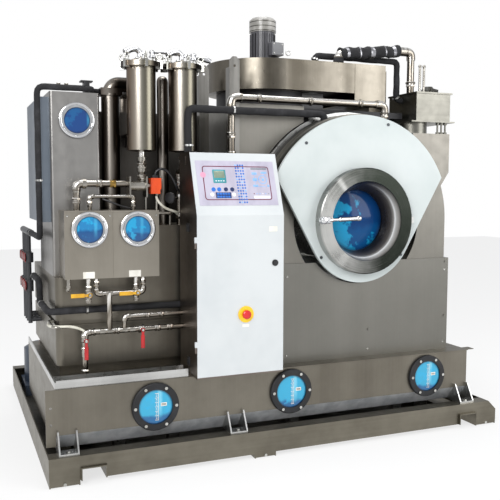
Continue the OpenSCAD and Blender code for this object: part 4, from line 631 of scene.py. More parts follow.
def dense(path, step):
    """The same route with a point every step millimetres."""
    path = np.array(path, float)
    run = np.concatenate([[0], np.cumsum(np.linalg.norm(np.diff(path, axis=0), axis=1))])
    at = np.linspace(0, run[-1], max(3, int(run[-1] / step)))
    return np.stack([np.interp(at, run, path[:, k]) for k in range(3)], -1)


def lumps(shape, size, passes, seed):
    """Smooth random heights: white noise averaged with its neighbours, then scaled to a spread of size."""
    h = np.random.default_rng(seed).standard_normal(shape)
    for _ in range(passes):
        h = (h + np.roll(h, 1, 0) + np.roll(h, -1, 0) + np.roll(h, 1, 1) + np.roll(h, -1, 1)) / 5
    return h / h.std() * size


LIT = np.array((-0.42, -0.36, 0.83), np.float32)        # towards the brightest part of the room


class Heap:
    """Closed surfaces gathered into one mesh, each with the number of its finish. Millimetres in, metres
    out."""

    def __init__(self):
        self.points, self.faces, self.marks, self.count = [], [], [], 0

    def add(self, rings, mark=0, closed=False):
        rings = np.asarray(rings, float)
        k, n = rings.shape[:2]
        row = np.arange(k if closed else k - 1)[:, None] * n
        i = np.arange(n)[None, :]
        ahead = (row + n) % (k * n)
        quads = np.stack([row + i, row + (i + 1) % n, ahead + (i + 1) % n, ahead + i], -1).reshape(-1, 4)
        faces = (quads + self.count).tolist()
        if not closed:
            cap = np.arange(n) + self.count
            faces += [cap[::-1].tolist(), (cap + (k - 1) * n).tolist()]
        self.points.append(rings.reshape(-1, 3))
        self.faces += faces
        self.marks += [mark] * len(faces)
        self.count += k * n
        return self

    def nut(self, at, way, r, h):
        """A hexagon nut with bevelled corners on a washer 2 mm thick."""
        self.add(turned([(r * 1.25, 0), (r * 1.25, 1.6), (r * 1.18, 2)], at, way, 20))
        return self.add(turned([(r, 2), (r, 2 + h * 0.82), (r * 0.86, 2 + h)], at, way, 6))

    def screw(self, at, way, r, mark=0):
        """A pan-head screw: a low dome with a sunk hexagon."""
        return self.add(turned([(r, 0), (r, r * 0.3), (r * 0.8, r * 0.55), (r * 0.45, r * 0.6),
                                (r * 0.4, r * 0.25), (0.01, r * 0.24)], at, way, 12), mark)

    def build(self, name, finishes, body="root", slot=None, replaces=(), sharp=34):
        """Makes the mesh and its object, smooth except where faces meet at more than sharp degrees. Each
        point also keeps shine, the cosine between its normal and the direction LIT to the brightest part of a
        room."""
        mesh = bpy.data.meshes.new(name)
        mesh.from_pydata((np.concatenate(self.points) / 1000).tolist(), [], self.faces)
        for finish in finishes:
            mesh.materials.append(finish.material)
        mesh.polygons.foreach_set("material_index", self.marks)
        mesh.polygons.foreach_set("use_smooth", [True] * len(self.faces))
        mesh.set_sharp_from_angle(angle=math.radians(sharp))
        facing_to = np.empty(len(mesh.vertices) * 3, np.float32)
        mesh.vertex_normals.foreach_get("vector", facing_to)
        mesh.attributes.new("shine", "FLOAT",
                            "POINT").data.foreach_set("value", facing_to.reshape(-1, 3) @ LIT)
        mesh.update()
        made = bpy.data.objects.new(name, mesh)
        bpy.context.scene.collection.objects.link(made)
        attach(made, body)
        if replaces:
            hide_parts(*replaces)
        print(f"{name}: {len(self.faces)} faces on {body}")
        return made


def room_plating(name, stops, rough):
    """Plating that shows a room as bands: the tone is looked up at (shine + 1) / 2, blurred by a little
    noise."""
    f = Finish(name, metallic=1.0)
    where = f.place()[0]
    stain = f.noise(where, 18, detail=4.0) - 0.5
    fine = f.noise(where, 420, detail=2.0, seed=4.0)
    shine = f.node("ShaderNodeAttribute", {"attribute_name": "shine"}, output=2)
    f.set(base_color=f.bands(shine * 0.5 + 0.5 + stain * 0.12, stops),
          roughness=rough + stain * 0.2 + fine * 0.04)
    return f.bump(fine, 0.000004)


room_nickel = room_plating("room_nickel", [
    (0.0, "#12100D"), (0.25, "#39332C"), (0.42, "#797268"), (0.55, "#A8A197"), (0.68, "#8B8479"),
    (0.8, "#DCD8D1"), (0.9, "#F6F4F0"), (1.0, "#CFCBC3")], 0.2)
room_chrome = room_plating("room_chrome", [
    (0.0, "#1A1A1C"), (0.2, "#55565A"), (0.36, "#B4B5B8"), (0.5, "#8A8B8F"), (0.6, "#D8D9DB"),
    (0.75, "#FFFFFF"), (0.9, "#C3C4C7"), (1.0, "#F4F4F5")], 0.12)

# %% [markdown]
# ## Windows
# The tank and the chambers are looked into through thick round glasses. Each is a shallow dome, so it catches
# a curved highlight. Behind the tank's glasses stands a strip with plain ticks for reading the level.


# %% Window glass and lenses
def window_glass(name, centre, radius, level, above, below, streak, seed, shine, patch_share, coat,
                 lean=(0.0, 0.0)):
    """Tinted glass over liquid: colour changes at the level, which waves a little, and one side carries an
    upright streak of light; both are sums of noise and distances from the window's middle. Brighter patches
    lie where a second noise, raised towards the side that lean points to, is high."""
    f = Finish(name, coat_roughness=0.03)
    where, x, y, z = f.place(centre)
    cloud = f.noise(where, 2.2 / radius, (1, 1, 0.6), detail=4.0, seed=seed)
    wet = ((z - level + (cloud - 0.5) * radius * 0.5) / radius).ramp(-0.16, 0.1)
    colour = f.blend(wet, below, above)
    light = 1.0 - ((x - streak * radius) / radius + (cloud - 0.5) * 0.25).size().ramp(0.02, 0.2)
    colour = f.blend(light * 0.45 * (z / radius).ramp(-0.9, 0.2), colour, shine)
    patch = (f.noise(where, 1.6 / radius, detail=4.0, rough=0.6, seed=seed + 4) + (x * lean[0] + z * lean[1])
             / radius).ramp(0.54, 0.62)
    colour = f.blend(patch * patch_share, colour, "#1FA3D2")
    rim = ((x * x + z * z) ** 0.5 / radius).ramp(0.86, 1.0)
    colour = f.blend(rim * 0.7, colour, "#04254A")
    return f.set(base_color=colour, roughness=0.06 + cloud * 0.06, coat_weight=coat)


TANK_WINDOWS = [(-825, -955, 335), (-22, -955, 335), (917, -955, 335)]
RING_WINDOWS = [(-1130, -790, 1279), (-870, -790, 1279), (-1156, -600, 1866)]
TANK_DOME = [(104, 0), (104, 9), (101, 11), (94, 11.4), (70, 13.2), (40, 14.4), (12, 15), (0.5, 15.1)]
RING_DOME = [(77, 0), (77, 6), (74, 8), (70, 8.3), (45, 9.8), (20, 10.6), (0.5, 10.8)]
# Each ring window: liquid level, colour above and below it, place of the streak, share of bright patches
RING_LOOKS = [(0.0, "#1B78AE", "#0C4A80", 0.45, 0.75), (-0.02, "#1B78AE", "#0C4A80", 0.3, 0.75),
              (-0.06, "#0A3C78", "#062A5C", 0.9, 0.12)]
lenses, glass = Heap(), []
for k, (x, y, z) in enumerate(TANK_WINDOWS):
    lenses.add(turned(TANK_DOME, (x, y, z), "front", 48), k)
    glass.append(window_glass(f"tank_glass_{k}", (x / 1000, 0, z / 1000), 0.094, -0.045 - 0.006 * k,
                              "#2A9FC6", "#0E5F93", 0.25, 3.0 + k, "#9ADDEE", 0.6, 0.4))
for k, ((x, y, z), (wet, above, below, streak, patches)) in enumerate(zip(RING_WINDOWS, RING_LOOKS)):
    lenses.add(turned(RING_DOME, (x, y, z), "front", 40), 3 + k)
    glass.append(window_glass(f"ring_glass_{k}", (x / 1000, 0, z / 1000), 0.0705, wet, above, below, streak,
                              7.0 + k, "#4FB6DC", patches, 0.3, (-0.1, 0.1)))
LABEL, INK = 6, 7
for x, y, z in TANK_WINDOWS:
    for t in range(-9, 10):
        lenses.add(plate(16 if t % 3 == 0 else 8, 2.6, 0.6, (x + 4, y - 15.0, z + t * 8), "front", 0.3, 0.1),
                   LABEL)
    lenses.add(plate(2, 150, 0.5, (x + 14, y - 14.9, z), "front", 0.3, 0.1), LABEL)
    lenses.add(plate(34, 19, 0.8, (x + 44, y - 14.0, z + 10), "front", 1), LABEL)
    for h in (13, 7):
        lenses.add(plate(26, 3, 0.3, (x + 44, y - 14.8, z + h), "front", 0.3, 0.1), INK)
lenses.build("window_lenses", glass + [F["pale_label"], F["ticks_black"]], slot="blue_glass",
             replaces=["sight_windows"])

door_glass = window_glass("door_window", (0.465, 0, 1.308), 0.184, -0.03, "#07386C", "#0A4A80", -0.95, 21.0,
                          "#2C9CCB", 0.75, 0.15, (-0.16, -0.1))
door_glass.set(specular_ior_level=0.15)
DOOR_DOME = [(194, 0), (194, 9.6), (186, 10), (168, 15), (140, 21), (105, 26), (65, 29.5), (28, 31.4),
             (0.5, 32)]
pane = Heap().add(turned(DOOR_DOME, (465, -816, 1308), "front", 72))
pane.build("door_pane", [door_glass], body="door", slot="blue_glass", replaces=["door_glass"])

# %% [markdown]
# ## Door handle
# A bar on a pivot block, turned in steps, with a ringed grip.

# %% Handle
BLOCK = [(21, 0), (21, 8), (17, 10), (17, 28), (21, 30), (21, 34), (17, 38), (8, 39), (0.5, 39)]
RINGS = [(r, 70 + 5 * k + d) for k in range(22)
         for r, d in ((13.4, 0), (13.4, 2.6), (11.9, 3.4), (11.9, 4.4))]
GRIP = [(10, 0), (10, 18), (13, 20), (13, 24), (9, 26), (9, 62), (12, 66)] + RINGS \
    + [(14, 184), (15.5, 188), (15.5, 200), (12, 206), (5, 208), (0.5, 208.4)]
BAR_TILT = math.radians(2)
along = ((0, 1, 0), (-math.sin(BAR_TILT), 0, math.cos(BAR_TILT)))
bar = Heap()
bar.add(turned(BLOCK, (162, -975, 1318), "front", 36))
bar.add(plate(54, 40, 20, (176, -986, 1318), "front", 7, 2))
bar.add(turned(GRIP, (196, -1000, 1319), along, 28))
bar.screw((176, -1006, 1330), "front", 4).screw((176, -1006, 1306), "front", 4)
bar.build("handle_bar", [room_chrome], body="handle", slot="chrome", replaces=["door_handle"])

# %% [markdown]
# ## Foam and straps
# The lines between still and fan are wrapped in soft foam, which is never quite round. The one over the fan
# is also banded with foil. Short straps of bright steel close the ends.

# %% Foam lines
foam = Heap()


def at_y(y, *places):
    """Points of a route that stays at one depth, written as pairs of x and z."""
    return [(x, y, z) for x, z in places]


def foam_line(route, radius, bend, seed, size):
    """A soft tube along a route. The points of its middle line come back, for the straps."""
    path = dense(bent(route, bend), 16)
    foam.add(tube(path, radius + lumps((len(path), 16), size, 3, seed), 16))
    return path


def strap(path, k, radius, width=10):
    """A strap with its buckle round the route at point k."""
    way = facing(path[min(k + 1, len(path) - 1)] - path[k])
    foam.add(hoop(disc(radius + 1.6, 24), disc(radius - 1, 24), width, path[k], way), 1, closed=True)
    block = path[k] + (way[0] * 0.7 - way[1] * 0.7) * (radius + 3)
    foam.add(plate(9, 9, width, block, way, 1), 1)


side_run = foam_line([(-1362, -100, 1230), (-1362, -590, 1230), (-1362, -590, 2041), (-1065, -590, 2041),
                      (-1065, -480, 2041), (-1009, -480, 2041)], 16.6, 38, 1, 0.5)
low_run = foam_line([(-1340, -20, 960), (-1340, -320, 960), (-1340, -320, 838), (-1340, -710.5, 838),
                     (-313, -710.5, 838)], 18.6, 34, 2, 0.8)
front_run = foam_line(at_y(-812, (-588, 1697), (-588, 1936), (256, 1936), (256, 1903)), 21.2, 34, 4, 0.9)
fan_run = foam_line(at_y(-540, (330, 2284), (330, 2328), (935, 2328), (935, 2080), (975, 2080)), 20, 30, 5,
                    1.0)
for path, places, radius in ((side_run, (3, 48), 18.5), (low_run, (2, 30, 60), 20.5),
                             (front_run, (2, 30), 23.5), (fan_run, (1, -4), 22.5)):
    for k in places:
        strap(path, k % len(path), radius)
foam.build("foam_lines", [F["foam_rubber"], F["bright_steel"]], slot="foam_rubber",
           replaces=["insulated_lines"], sharp=60)

shaft = Heap()
shaft.add(turned([(33, 0), (33, 815), (31, 827), (24, 839), (12, 846), (0.5, 848)], (-661, -560, 1291), "up",
                 40))
shaft.build("filter_column", [F["shaft_steel"]], slot="foam_rubber")

wrap = Heap()
path = dense(at_y(-592, (478, 2341), (700, 2363.5), (914, 2385)), 9)
swell = 36 + lumps((len(path), 20), 3.4, 4, 6)
wrap.add(tube(path, swell, 20))
for k, share in ((4, 3), (14, 2), (23, 4), (34, 2), (41, 3)):
    wide = np.arange(k, k + share)
    wrap.add(tube(path[wide], swell[wide] + 1.5, 20), 1)
wrap.add(turned([(34, 0), (31, 26), (28, 30)], (470, -592, 2286), "up", 24))
wrap.build("pipe_wrap", [F["foam_rubber"], F["foil"]], slot="foam_rubber", sharp=60)

# %% [markdown]
# ## Unions, valves and hoses
# A screwed pipe shows where it can be undone: a hexagon on each side of a valve or a union. These are small,
# but they break up the bright pipes and give them their scale.

# %% Pipe fittings
fit = Heap()
NICKEL, BRASS, DARK, MILK = 0, 1, 2, 3
VALVES = {"red_lever_left": (-1160, 685), "red_lever_right": (-852, 725), "yellow_lever_left": (-1136, 931),
          "yellow_lever_right": (-878, 931)}


def union(at, way, r, mark=NICKEL):
    """Two hexagons with a collar between, centred on the pipe at that place."""
    fit.add(turned([(r, -16), (r, -5), (r * 0.92, -4)], at, way, 6, 8), mark)
    fit.add(turned([(r * 0.9, -5), (r * 0.9, 5)], at, way, 20), mark)
    fit.add(turned([(r * 1.12, 4), (r * 1.12, 14), (r, 17)], at, way, 8), mark)


for way, r, places in (
        ("right", 22, at_y(-700, (-1060, 1523)) + at_y(-772, (-852, 725))),
        ("up", 22, at_y(-700, (-1180, 1430))), ("up", 25, at_y(-700, (-820, 1558), (-820, 1622))),
        ("up", 24, at_y(-700, (-583, 1660)) + at_y(-630, (-583, 1520), (-583, 1340))),
        ("up", 14, at_y(-700, (-1110, 1412), (-870, 1412))),
        ("up", 15, at_y(-772, (-1094, 985), (-838, 985))),
        ("up", 16, at_y(-772, (-1136, 905), (-1136, 960), (-878, 905), (-878, 960))),
        ("right", 18, at_y(-772, (-1120, 725), (-990, 725), (-760, 725), (-690, 725))),
        ("right", 15, at_y(-772, (-820, 800), (-740, 800))),
        ("up", 18, at_y(-772, (-1160, 508), (-1160, 628), (-1160, 700))),
        ("right", 24, at_y(-766, (-150, 2015), (180, 2015), (520, 2015))),
        ("up", 25, at_y(-766, (-316, 1800), (700, 1955))), ("up", 29, at_y(-592, (470, 2310), (1008, 2180)))):
    for at in places:
        union(at, way, r)
union((-985, -700, 1523), "right", 22, BRASS)
for at in at_y(-784, *VALVES.values()):
    fit.add(turned([(12, 0), (12, 10), (9, 12), (9, 18), (6, 19)], at, "front", 6))
fit.add(turned([(27, 0), (27, 12), (22, 14)], (-316, -766, 1697), "up", 24))
fit.nut((-1246, -575, 2056), "up", 11, 10).nut((-1204, -575, 2056), "up", 11, 10)
fit.add(plate(30, 60, 62, (-1095, -560, 2019), "up"), DARK)
fit.add(plate(66, 60, 7, (-1095, -560, 2080), "up"), DARK)

# The hand knob on the second filter's drain, reached from the front left
stem = np.array([(-592, -636, 1444), (-648, -688, 1444)], float)
fit.add(turned([(20, -20), (20, 20)], (-583, -630, 1444), "up", 8))
fit.add(tube(dense(stem, 12), 6, 12))
toward = facing(stem[1] - stem[0])
fit.add(turned([(14, 0), (30, 4), (33, 9), (33, 19), (29, 24), (12, 26), (0.5, 26)], stem[1], toward, 40),
        DARK)


# Sleeves and elbows: every bright run of pipe with its corner pieces
def run(route, radius, bend, collar=4.5):
    """A pipe along a route, and a thicker elbow over each of its corners."""
    fit.add(tube(bent(route, bend, 10), radius, 20))
    p = [np.array(q, float) for q in route]
    for before, corner, after in zip(p, p[1:], p[2:]):
        ends = [corner + (q - corner) / np.linalg.norm(q - corner) * bend * 1.3 for q in (before, after)]
        fit.add(tube(bent([ends[0], corner, ends[1]], bend, 10), radius + collar, 20))


run(at_y(-772, (-1160, 479), (-1160, 725), (-614, 725)), 15, 24)
run(at_y(-772, (-944, 725), (-944, 800), (-614, 800)), 12.5, 20)
run(at_y(-772, (-1026, 722), (-1026, 935)), 15, 20)
run(at_y(-772, (-1094, 1014), (-1094, 931), (-838, 931), (-838, 1014)), 12.5, 22)
run(at_y(-700, (-1180, 1381), (-1180, 1523), (-901, 1523)), 18, 30, 5)
run(at_y(-700, (-1110, 1381), (-1110, 1453), (-870, 1453), (-870, 1381)), 10.5, 15, 3.5)
run(at_y(-700, (-820, 1570), (-820, 1705)), 18.5, 20)
run([(-583, -700, 1705), (-583, -700, 1600), (-583, -630, 1600), (-583, -630, 1294)], 18.5, 26)
run(at_y(-766, (-316, 1699), (-316, 2015), (700, 2015), (700, 1929)), 20.5, 42, 6)
run(at_y(-592, (470, 2287), (470, 2340), (925, 2386), (1008, 2386), (1008, 2116)), 23.5, 36, 5)
for x in (-1136, -878):
    run(at_y(-772, (x, 892), (x, 1014)), 12.5, 20)

# Cable and plug of the coil, milky hose under it, pale hose over the still
fit.add(plate(34, 30, 16, (-747, -700, 1555), "up", 3), DARK)
fit.add(turned([(14, 0), (14, 16), (11, 18)], (-738, -700, 1456), "up", 6))
for points, radius, sides, mark in (
        ([(-747, -700, 1566), (-738, -704, 1592), (-712, -708, 1606), (-680, -706, 1596), (-650, -702, 1562),
          (-625, -700, 1517), (-604, -672, 1488), (-584, -650, 1470)], 7.6, 12, DARK),
        ([(-1040, -700, 1440), (-1000, -716, 1424), (-950, -722, 1404), (-905, -716, 1392),
          (-880, -700, 1384)],
         5.5, 12, DARK),
        ([(-738, -700, 1474), (-738, -704, 1444), (-722, -712, 1414), (-690, -714, 1388), (-648, -704, 1372),
          (-612, -680, 1362), (-604, -650, 1352)], 7.2, 14, MILK),
        ([(-1165, -772, 735), (-1196, -776, 752), (-1240, -776, 764), (-1290, -772, 766), (-1330, -740, 764),
          (-1338, -680, 762), (-1326, -610, 762), (-1298, -575, 762)], 7.6, 14, MILK)):
    fit.add(tube(spline(points), radius, sides), mark)
fit.build("pipe_fittings", [room_nickel, F["brass"], F["black_plastic"], F["milky_hose"]], slot="pipe_nickel")

# Elbows and knobs on the filter lids, and the rolled bright rims of the three chamber windows
lids = Heap()
for x in (-826, -589):
    elbow = spline([(x, -700, 2214), (x - 2, -700, 2238), (x - 24, -702, 2254), (x - 56, -706, 2248),
                    (x - 84, -712, 2230)])
    lids.add(tube(elbow, np.interp(np.arange(len(elbow)), (0, 18, len(elbow) - 1), (14, 15, 19)), 18))
    lids.add(turned([(19, 0), (19, 8), (14, 12), (13, 22), (18, 26), (17, 34), (8, 40), (0.5, 41)],
                    (x + 70, -700, 2214), "up", 20))
    lids.add(turned([(12, 0), (12, 10), (9, 14), (9, 20), (0.5, 22)], (x + 2, -775, 2214), "up", 12))
lids.add(tube([(-756, -700, 2244), (-700, -700, 2246), (-612, -700, 2240)], 8, 14))
lids.add(tube([(-519, -700, 2232), (-480, -702, 2230), (-440, -704, 2222), (-418, -704, 2214)],
              np.array((9, 13, 17, 12)), 18))
a = np.radians(np.arange(0, 360, 30))
RIM = np.stack([88 + 9 * np.cos(a), 2 + 5 * np.sin(a)], -1)
for (x, y, z), forward in zip(RING_WINDOWS, (12, 12, 10)):
    lids.add(turned(RIM, (x, y - forward, z), "front", 48), closed=True)
lids.build("lid_pipes_and_rims", [room_chrome], slot="chrome")

# The clamp strip round the front of the drum, in four courses, and the ring bolt beside the fan motor
CLAMP_R, CLAMP_Y, CLAMP_WIDE, CLAMP_THICK = 621, -743.0, 27, 7
strip = Heap()
for low, high in ((100, 111), (112.2, 124), (125.2, 137), (138.2, 150)):
    a = np.radians(np.linspace(low, high, 12))
    outward = np.stack([np.cos(a), np.zeros(12), np.sin(a)], -1)
    course = np.array((465, CLAMP_Y, 1308)) + CLAMP_R * outward
    strip.add(np.stack([course + outward * r + (0, d, 0)
                        for r, d in ((0, 0), (0, -CLAMP_THICK), (CLAMP_WIDE, -CLAMP_THICK), (CLAMP_WIDE, 0))],
                        1))
t = np.radians(np.arange(0, 360, 36))
strip.add(turned(np.stack([15 + 4 * np.cos(t), 4 * np.sin(t)], -1), (245, -330, 2372), "front", 24),
          closed=True)
strip.build("clamp_strip", [F["bright_steel"]], slot="bright_steel")

# Bare plates under the windows, panel screws, and a black plate between fan and air chamber that is a painted
# shadow under the scroll
details = Heap()
PLATE, ZINC, BOX, BLACK = 0, 1, 2, 3
for x, w in ((-1136, 62), (-887, 66)):
    details.add(plate(w, 35, 1.2, (x, -790.1, 1036), "front", 2, 0.3), PLATE)
for at in at_y(-790, (-1020, 1352), (-1245, 1352), (-766, 1352)) \
        + at_y(-873, (-10, 985), (1100, 985), (1100, 520), (540, 520), (-10, 520)):
    details.screw(at, "front", 6, ZINC)
# Painted shadow: a black plate where the shade under the scroll falls
details.add(plate(150, 112, 6, (335, -500, 2042), "front"), BLACK)

# Lid of the fan motor's terminal box with its screws, and the catches on the cabinet's side
tilt = math.radians(8)
lid_way = ((math.cos(tilt), math.sin(tilt), 0), (0, 0, 1))
across, up, out = axes(lid_way)
lid_at = np.array((155.9, -367.8, 2386))
details.add(plate(76, 74, 3, lid_at, lid_way, 5), BOX)
for a, b in ((-30, -29), (-30, 29), (30, -29), (30, 29)):
    details.screw(lid_at + across * a + up * b + out * 3, lid_way, 3.5, ZINC)
for z in (1286, 548):
    details.add(plate(42, 48, 5, (-612, -884, z), "left", 5), BLACK)
    details.add(plate(26, 30, 4, (-617, -884, z), "left", 4), BLACK)
details.build("panel_details", [F["pale_label"], F["bolt_zinc"], F["motor_paint"], F["black_plastic"]],
              slot="pipe_nickel")

# Lever nuts turn with their levers
for name, (x, z) in VALVES.items():
    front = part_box(name)[0].y * 1000
    cap = Heap().nut((x, front + 4, z), "front", 8, 6)
    cap.build(name + "_nut", [F["bolt_zinc"]], body=name, slot="bolt_zinc")

# %% [markdown]
# ## Behind and inside
# The photograph doesn't show these, but the pieces they join are there: copper lines between the cooling unit
# and its casing, the pump's hose, the drive motor's terminal box with its cable, and the wiring on the
# cabinet's back plate.

# %% Service lines, terminal box and wiring
lines = Heap()
COPPER, HOSE, GREY_BOX, SCREW = 0, 1, 2, 3
for route, radius in (([(-1210, 765, 377), (-1210, 765, 640), (-880, 640, 640), (-880, 331, 640)], 11),
                      ([(-1030, 765, 303), (-1030, 765, 560), (-800, 640, 560), (-800, 331, 560)], 8)):
    lines.add(tube(bent(route, 50, 12), radius, 16), COPPER)
    lines.add(turned([(radius * 1.7, 0), (radius * 1.7, 14), (radius * 1.3, 17)], route[0], "up", 6), COPPER)
    lines.add(turned([(radius * 2.2, 0), (radius * 2.2, 5), (radius * 1.5, 8)], route[-1], "back", 20), SCREW)
lines.add(tube(bent([(940, 640, 309), (940, 640, 400), (940, 332, 400)], 55, 12), 22, 18), HOSE)
for at, way in (((940, 640, 312), "up"), ((940, 349, 400), "back")):
    lines.add(hoop(disc(25, 28), disc(21, 28), 13, at, way), SCREW, True)
lines.add(turned([(40, 0), (40, 6), (36, 8)], (940, 330, 400), "back", 28), SCREW)
lines.add(plate(84, 96, 34, (900, 70, 703), "up", 8, 2), GREY_BOX)
lines.add(plate(90, 102, 5, (900, 70, 737), "up", 9), GREY_BOX)
for x, y in ((866, 30), (866, 110), (934, 30), (934, 110)):
    lines.screw((x, y, 742), "up", 5, SCREW)
lines.add(tube(spline([(858, 70, 722), (820, 72, 716), (790, 90, 660), (784, 110, 580), (784, 120, 478)]), 8,
               12),
          HOSE)
lines.build("service_lines", [F["copper"], F["seal_rubber"], F["motor_paint"], F["bolt_zinc"]],
            slot="pump_paint")

wiring = Heap()
random = np.random.default_rng(7)
LEVELS = ((726, 876), (984, 1116), (1234, 1376))        # where each third wire starts and ends
for k in range(26):
    x = -548 + 15.4 * k
    low, high = LEVELS[k % 3]
    a, b, c = x + random.uniform(-9, 9, 3)
    wiring.add(tube(spline([(x, -742, low), (a, -768, low + 30), (b, -776, (low + high) / 2),
                            (c, -766, high - 26), (x, -742, high)], 6), 2.4, 8), k % 4)
for z in (735, 1000, 1255):
    wiring.add(plate(410, 26, 34, (-360, -740, z + 55), "front"), 4)
    for k in range(20):
        wiring.add(plate(5, 16, 2, (-550 + 20 * k, -774, z + 55), "front", 1, 0.4), 2)
wiring.build("cabinet_wiring",
             [F[n] for n in ("red_grip", "wire_blue", "black_plastic", "wire_grey", "duct_grey")],
             slot="black_plastic")

# %% [markdown]
# ## Control panel
# The keypad is printed film over flat keys. Places on it are given as shares of its width, from the left, and
# of its height, from the top; the slope of the console turns them into points. Its picture is a plain plant
# diagram.

# %% Keypad
LEAN = math.atan2(125, 1692 - 1355)
SLOPE_UP = np.array((0, math.sin(LEAN), math.cos(LEAN)))
SLOPE = ((1, 0, 0), SLOPE_UP)
KEYPAD_FOOT = np.array((-360, -1035, 1355)) + SLOPE_UP * 56
KEYPAD_W, KEYPAD_H = 456.0, 256.0
FILM_FACE = 1.55                        # how far the film's face lies in front of the console


def on_keypad(s, t, lift=FILM_FACE):
    return KEYPAD_FOOT + np.array(((s - 0.5) * KEYPAD_W, 0, 0)) + SLOPE_UP * (1 - t) * KEYPAD_H \
        + axes(SLOPE)[2] * lift


keys = Heap()
MAROON, PINK, TEAL, SCREEN, BLUE, NAVY, WHITE, SKY, GREY = range(9)


def flat(mark, s, t, w, h, thick=0.4, corner=2.0, soft=0.15, lift=FILM_FACE):
    """A flat printed or raised field, w by h millimetres."""
    keys.add(plate(w, h, thick, on_keypad(s, t, lift), SLOPE, corner, soft), mark)


def button(mark, s, t, profile, sides=28):
    """A round key, lamp or dot, turned from its profile."""
    keys.add(turned(profile, on_keypad(s, t), SLOPE, sides), mark)


keys.add(hoop(outline(390, 196, 16), outline(380, 186, 12), 0.35, on_keypad(0.5025, 0.5), SLOPE), MAROON,
         True)
button(PINK, 0.08, 0.32, [(16, 0), (16, 0.5), (14, 0.9)], 32)
flat(TEAL, 0.2825, 0.35, 75, 77, 1.2, 4, 0.6)
flat(SCREEN, 0.2825, 0.31, 62, 40, 0.5, 2, 0.2, 2.7)
for k in range(4):
    flat(WHITE, 0.235 + 0.032 * k, 0.455, 9, 5, 0.5, 1, 0.2, 2.7)
for s, mark in ((0.19, BLUE), (0.26, BLUE), (0.345, NAVY), (0.425, NAVY)):
    button(mark, s, 0.645, [(12, 0), (12, 0.8), (10.5, 1.5), (0.5, 1.8)])
flat(NAVY, 0.3075, 0.775, 89, 34, 0.5, 3, 0.2)
for k in range(10):
    flat(BLUE, 0.24 + 0.034 * (k % 5), 0.742 + k // 5 * 0.066, 13, 11, 0.9, 2, 0.6, 2.0)
for s in (0.165, 0.44):
    button(WHITE, s, 0.76, [(11, 0), (11, 0.8), (9.5, 1.4), (0.5, 1.6)])
for column in range(4):
    for row in range(14):
        button(BLUE if (row * 3 + column) % 5 else SKY, 0.502 + 0.031 * column, 0.095 + row * 0.0645,
               [(5.2, 0), (5.2, 0.6), (3.6, 1.4), (0.5, 1.6)], 14)
keys.add(hoop(disc(26, 40), disc(22, 40), 0.4, on_keypad(0.835, 0.42), SLOPE), SKY, True)
for field in ((0.735, 0.28, 30, 14), (0.735, 0.42, 26, 18), (0.735, 0.56, 30, 12), (0.86, 0.26, 34, 10),
              (0.84, 0.42, 14, 14), (0.79, 0.42, 16, 2.4), (0.735, 0.35, 2.4, 18), (0.735, 0.49, 2.4, 18),
              (0.86, 0.31, 2.4, 14), (0.80, 0.58, 62, 2.4), (0.9, 0.56, 12, 12)):
    flat(SKY, *field, corner=0.9)
for k, mark in enumerate((MAROON, SKY, SKY, WHITE, SKY, GREY)):
    button(mark, 0.70 + 0.038 * k, 0.74, [(3.2, 0), (3.2, 0.5), (2, 1.1), (0.4, 1.2)], 12)
flat(WHITE, 0.80, 0.82, 96, 16)
flat(GREY, 0.80, 0.17, 96, 12)
FILM = ("print_maroon", "print_pink", "print_teal", "screen", "key_blue", "key_navy", "key_white", "key_sky",
        "print_grey")
keys.build("keypad", [F[n] for n in FILM], body="cabinet_door", slot="overlay_film", sharp=50)

trim = Heap()
for w, h, x, z in ((50, 28, -172, 1278), (40, 16, -334, 752)):
    trim.add(plate(w, h, 0.7, (x, -1035.2, z), "front", 2, 0.2))
trim.build("cabinet_trim", [F["pale_label"]], body="cabinet_door", slot="overlay_film")

# %% [markdown]
# ## Room
# A pale floor and backdrop, one broad key light from the left and a softer one from the right, as in a
# catalogue picture. The floor looks white to the camera and to reflections but still takes the machine's
# shadow.


# %% Floor, backdrop and lights
WHITE_LIGHT = (1, 1, 1, 1)


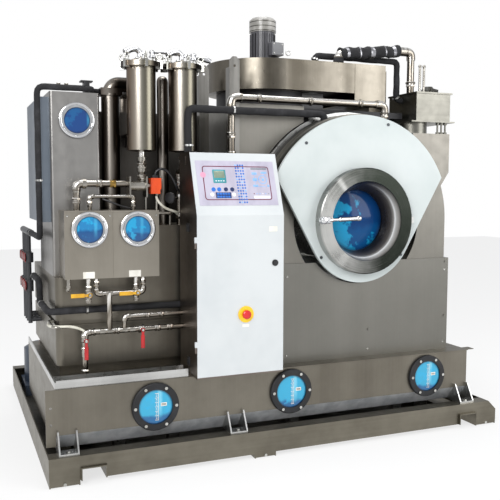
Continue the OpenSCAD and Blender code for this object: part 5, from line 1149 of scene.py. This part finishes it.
def emitter_floor(name, glow, colour):
    """Part lit, part glowing, but only to the camera and to mirror rays, so the object isn't lit from
    below."""
    f = Finish(name, base_color=(colour, colour, colour, 1.0), roughness=0.9)
    ray = f.tree.nodes.new("ShaderNodeLightPath").outputs
    seen = Wire(f, ray["Is Camera Ray"])
    for kind in ("Is Glossy Ray", "Is Transmission Ray"):
        seen = seen.math("MAXIMUM", Wire(f, ray[kind]))
    light = f.tree.nodes.new("ShaderNodeEmission")
    light.inputs["Color"].default_value = WHITE_LIGHT
    mixed = f.node("ShaderNodeMixShader", {}, {0: seen * glow})
    f.tree.links.new(f.shader.outputs[0], mixed.socket.node.inputs[1])
    f.tree.links.new(light.outputs[0], mixed.socket.node.inputs[2])
    f.tree.links.new(mixed.socket, f.tree.nodes["Material Output"].inputs["Surface"])
    return f


HALF, FLOOR_Z = 14.0, -0.001            # metres
floor_mesh = bpy.data.meshes.new("floor")
floor_mesh.from_pydata([(HALF * a, HALF * b, FLOOR_Z) for a, b in ((-1, -1), (1, -1), (1, 1), (-1, 1))], [],
                       [(0, 1, 2, 3)])
floor = bpy.data.objects.new("floor", floor_mesh)
bpy.context.scene.collection.objects.link(floor)
floor.data.materials.append(emitter_floor("floor_paper", 0.72, 0.86).material)
floor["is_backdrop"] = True

world = bpy.data.worlds.new("room")
bpy.context.scene.world = world
world.use_nodes = True
tree = world.node_tree
room = tree.nodes["Background"]
room.inputs["Color"].default_value = (0.97, 0.98, 1.0, 1)
room.inputs["Strength"].default_value = 0.62
white = tree.nodes.new("ShaderNodeBackground")
white.inputs["Color"].default_value = WHITE_LIGHT
path = tree.nodes.new("ShaderNodeLightPath")
either = tree.nodes.new("ShaderNodeMixShader")
tree.links.new(path.outputs["Is Camera Ray"], either.inputs[0])
tree.links.new(room.outputs[0], either.inputs[1])
tree.links.new(white.outputs[0], either.inputs[2])
tree.links.new(either.outputs[0], tree.nodes["World Output"].inputs["Surface"])


def panel_light(name, place, target, size, power):
    """A soft box: a square lamp at place that faces target."""
    lamp = bpy.data.lights.new(name, "AREA")
    lamp.shape = "SQUARE"
    lamp.size = size
    lamp.energy = power
    made = bpy.data.objects.new(name, lamp)
    made.location = place
    made.rotation_euler = (Vector(target) - Vector(place)).to_track_quat("-Z", "Y").to_euler()
    bpy.context.scene.collection.objects.link(made)


panel_light("key", (-4.6, -5.6, 4.6), (0, -0.6, 1.1), 3.2, 330)
panel_light("fill", (4.4, -5.2, 3.0), (0.3, -0.6, 1.2), 3.6, 150)
panel_light("top", (0.2, -0.4, 6.0), (0, 0, 1.0), 3.0, 120)

# %% Look
bpy.context.scene.view_settings.view_transform = "Standard"
low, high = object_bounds()
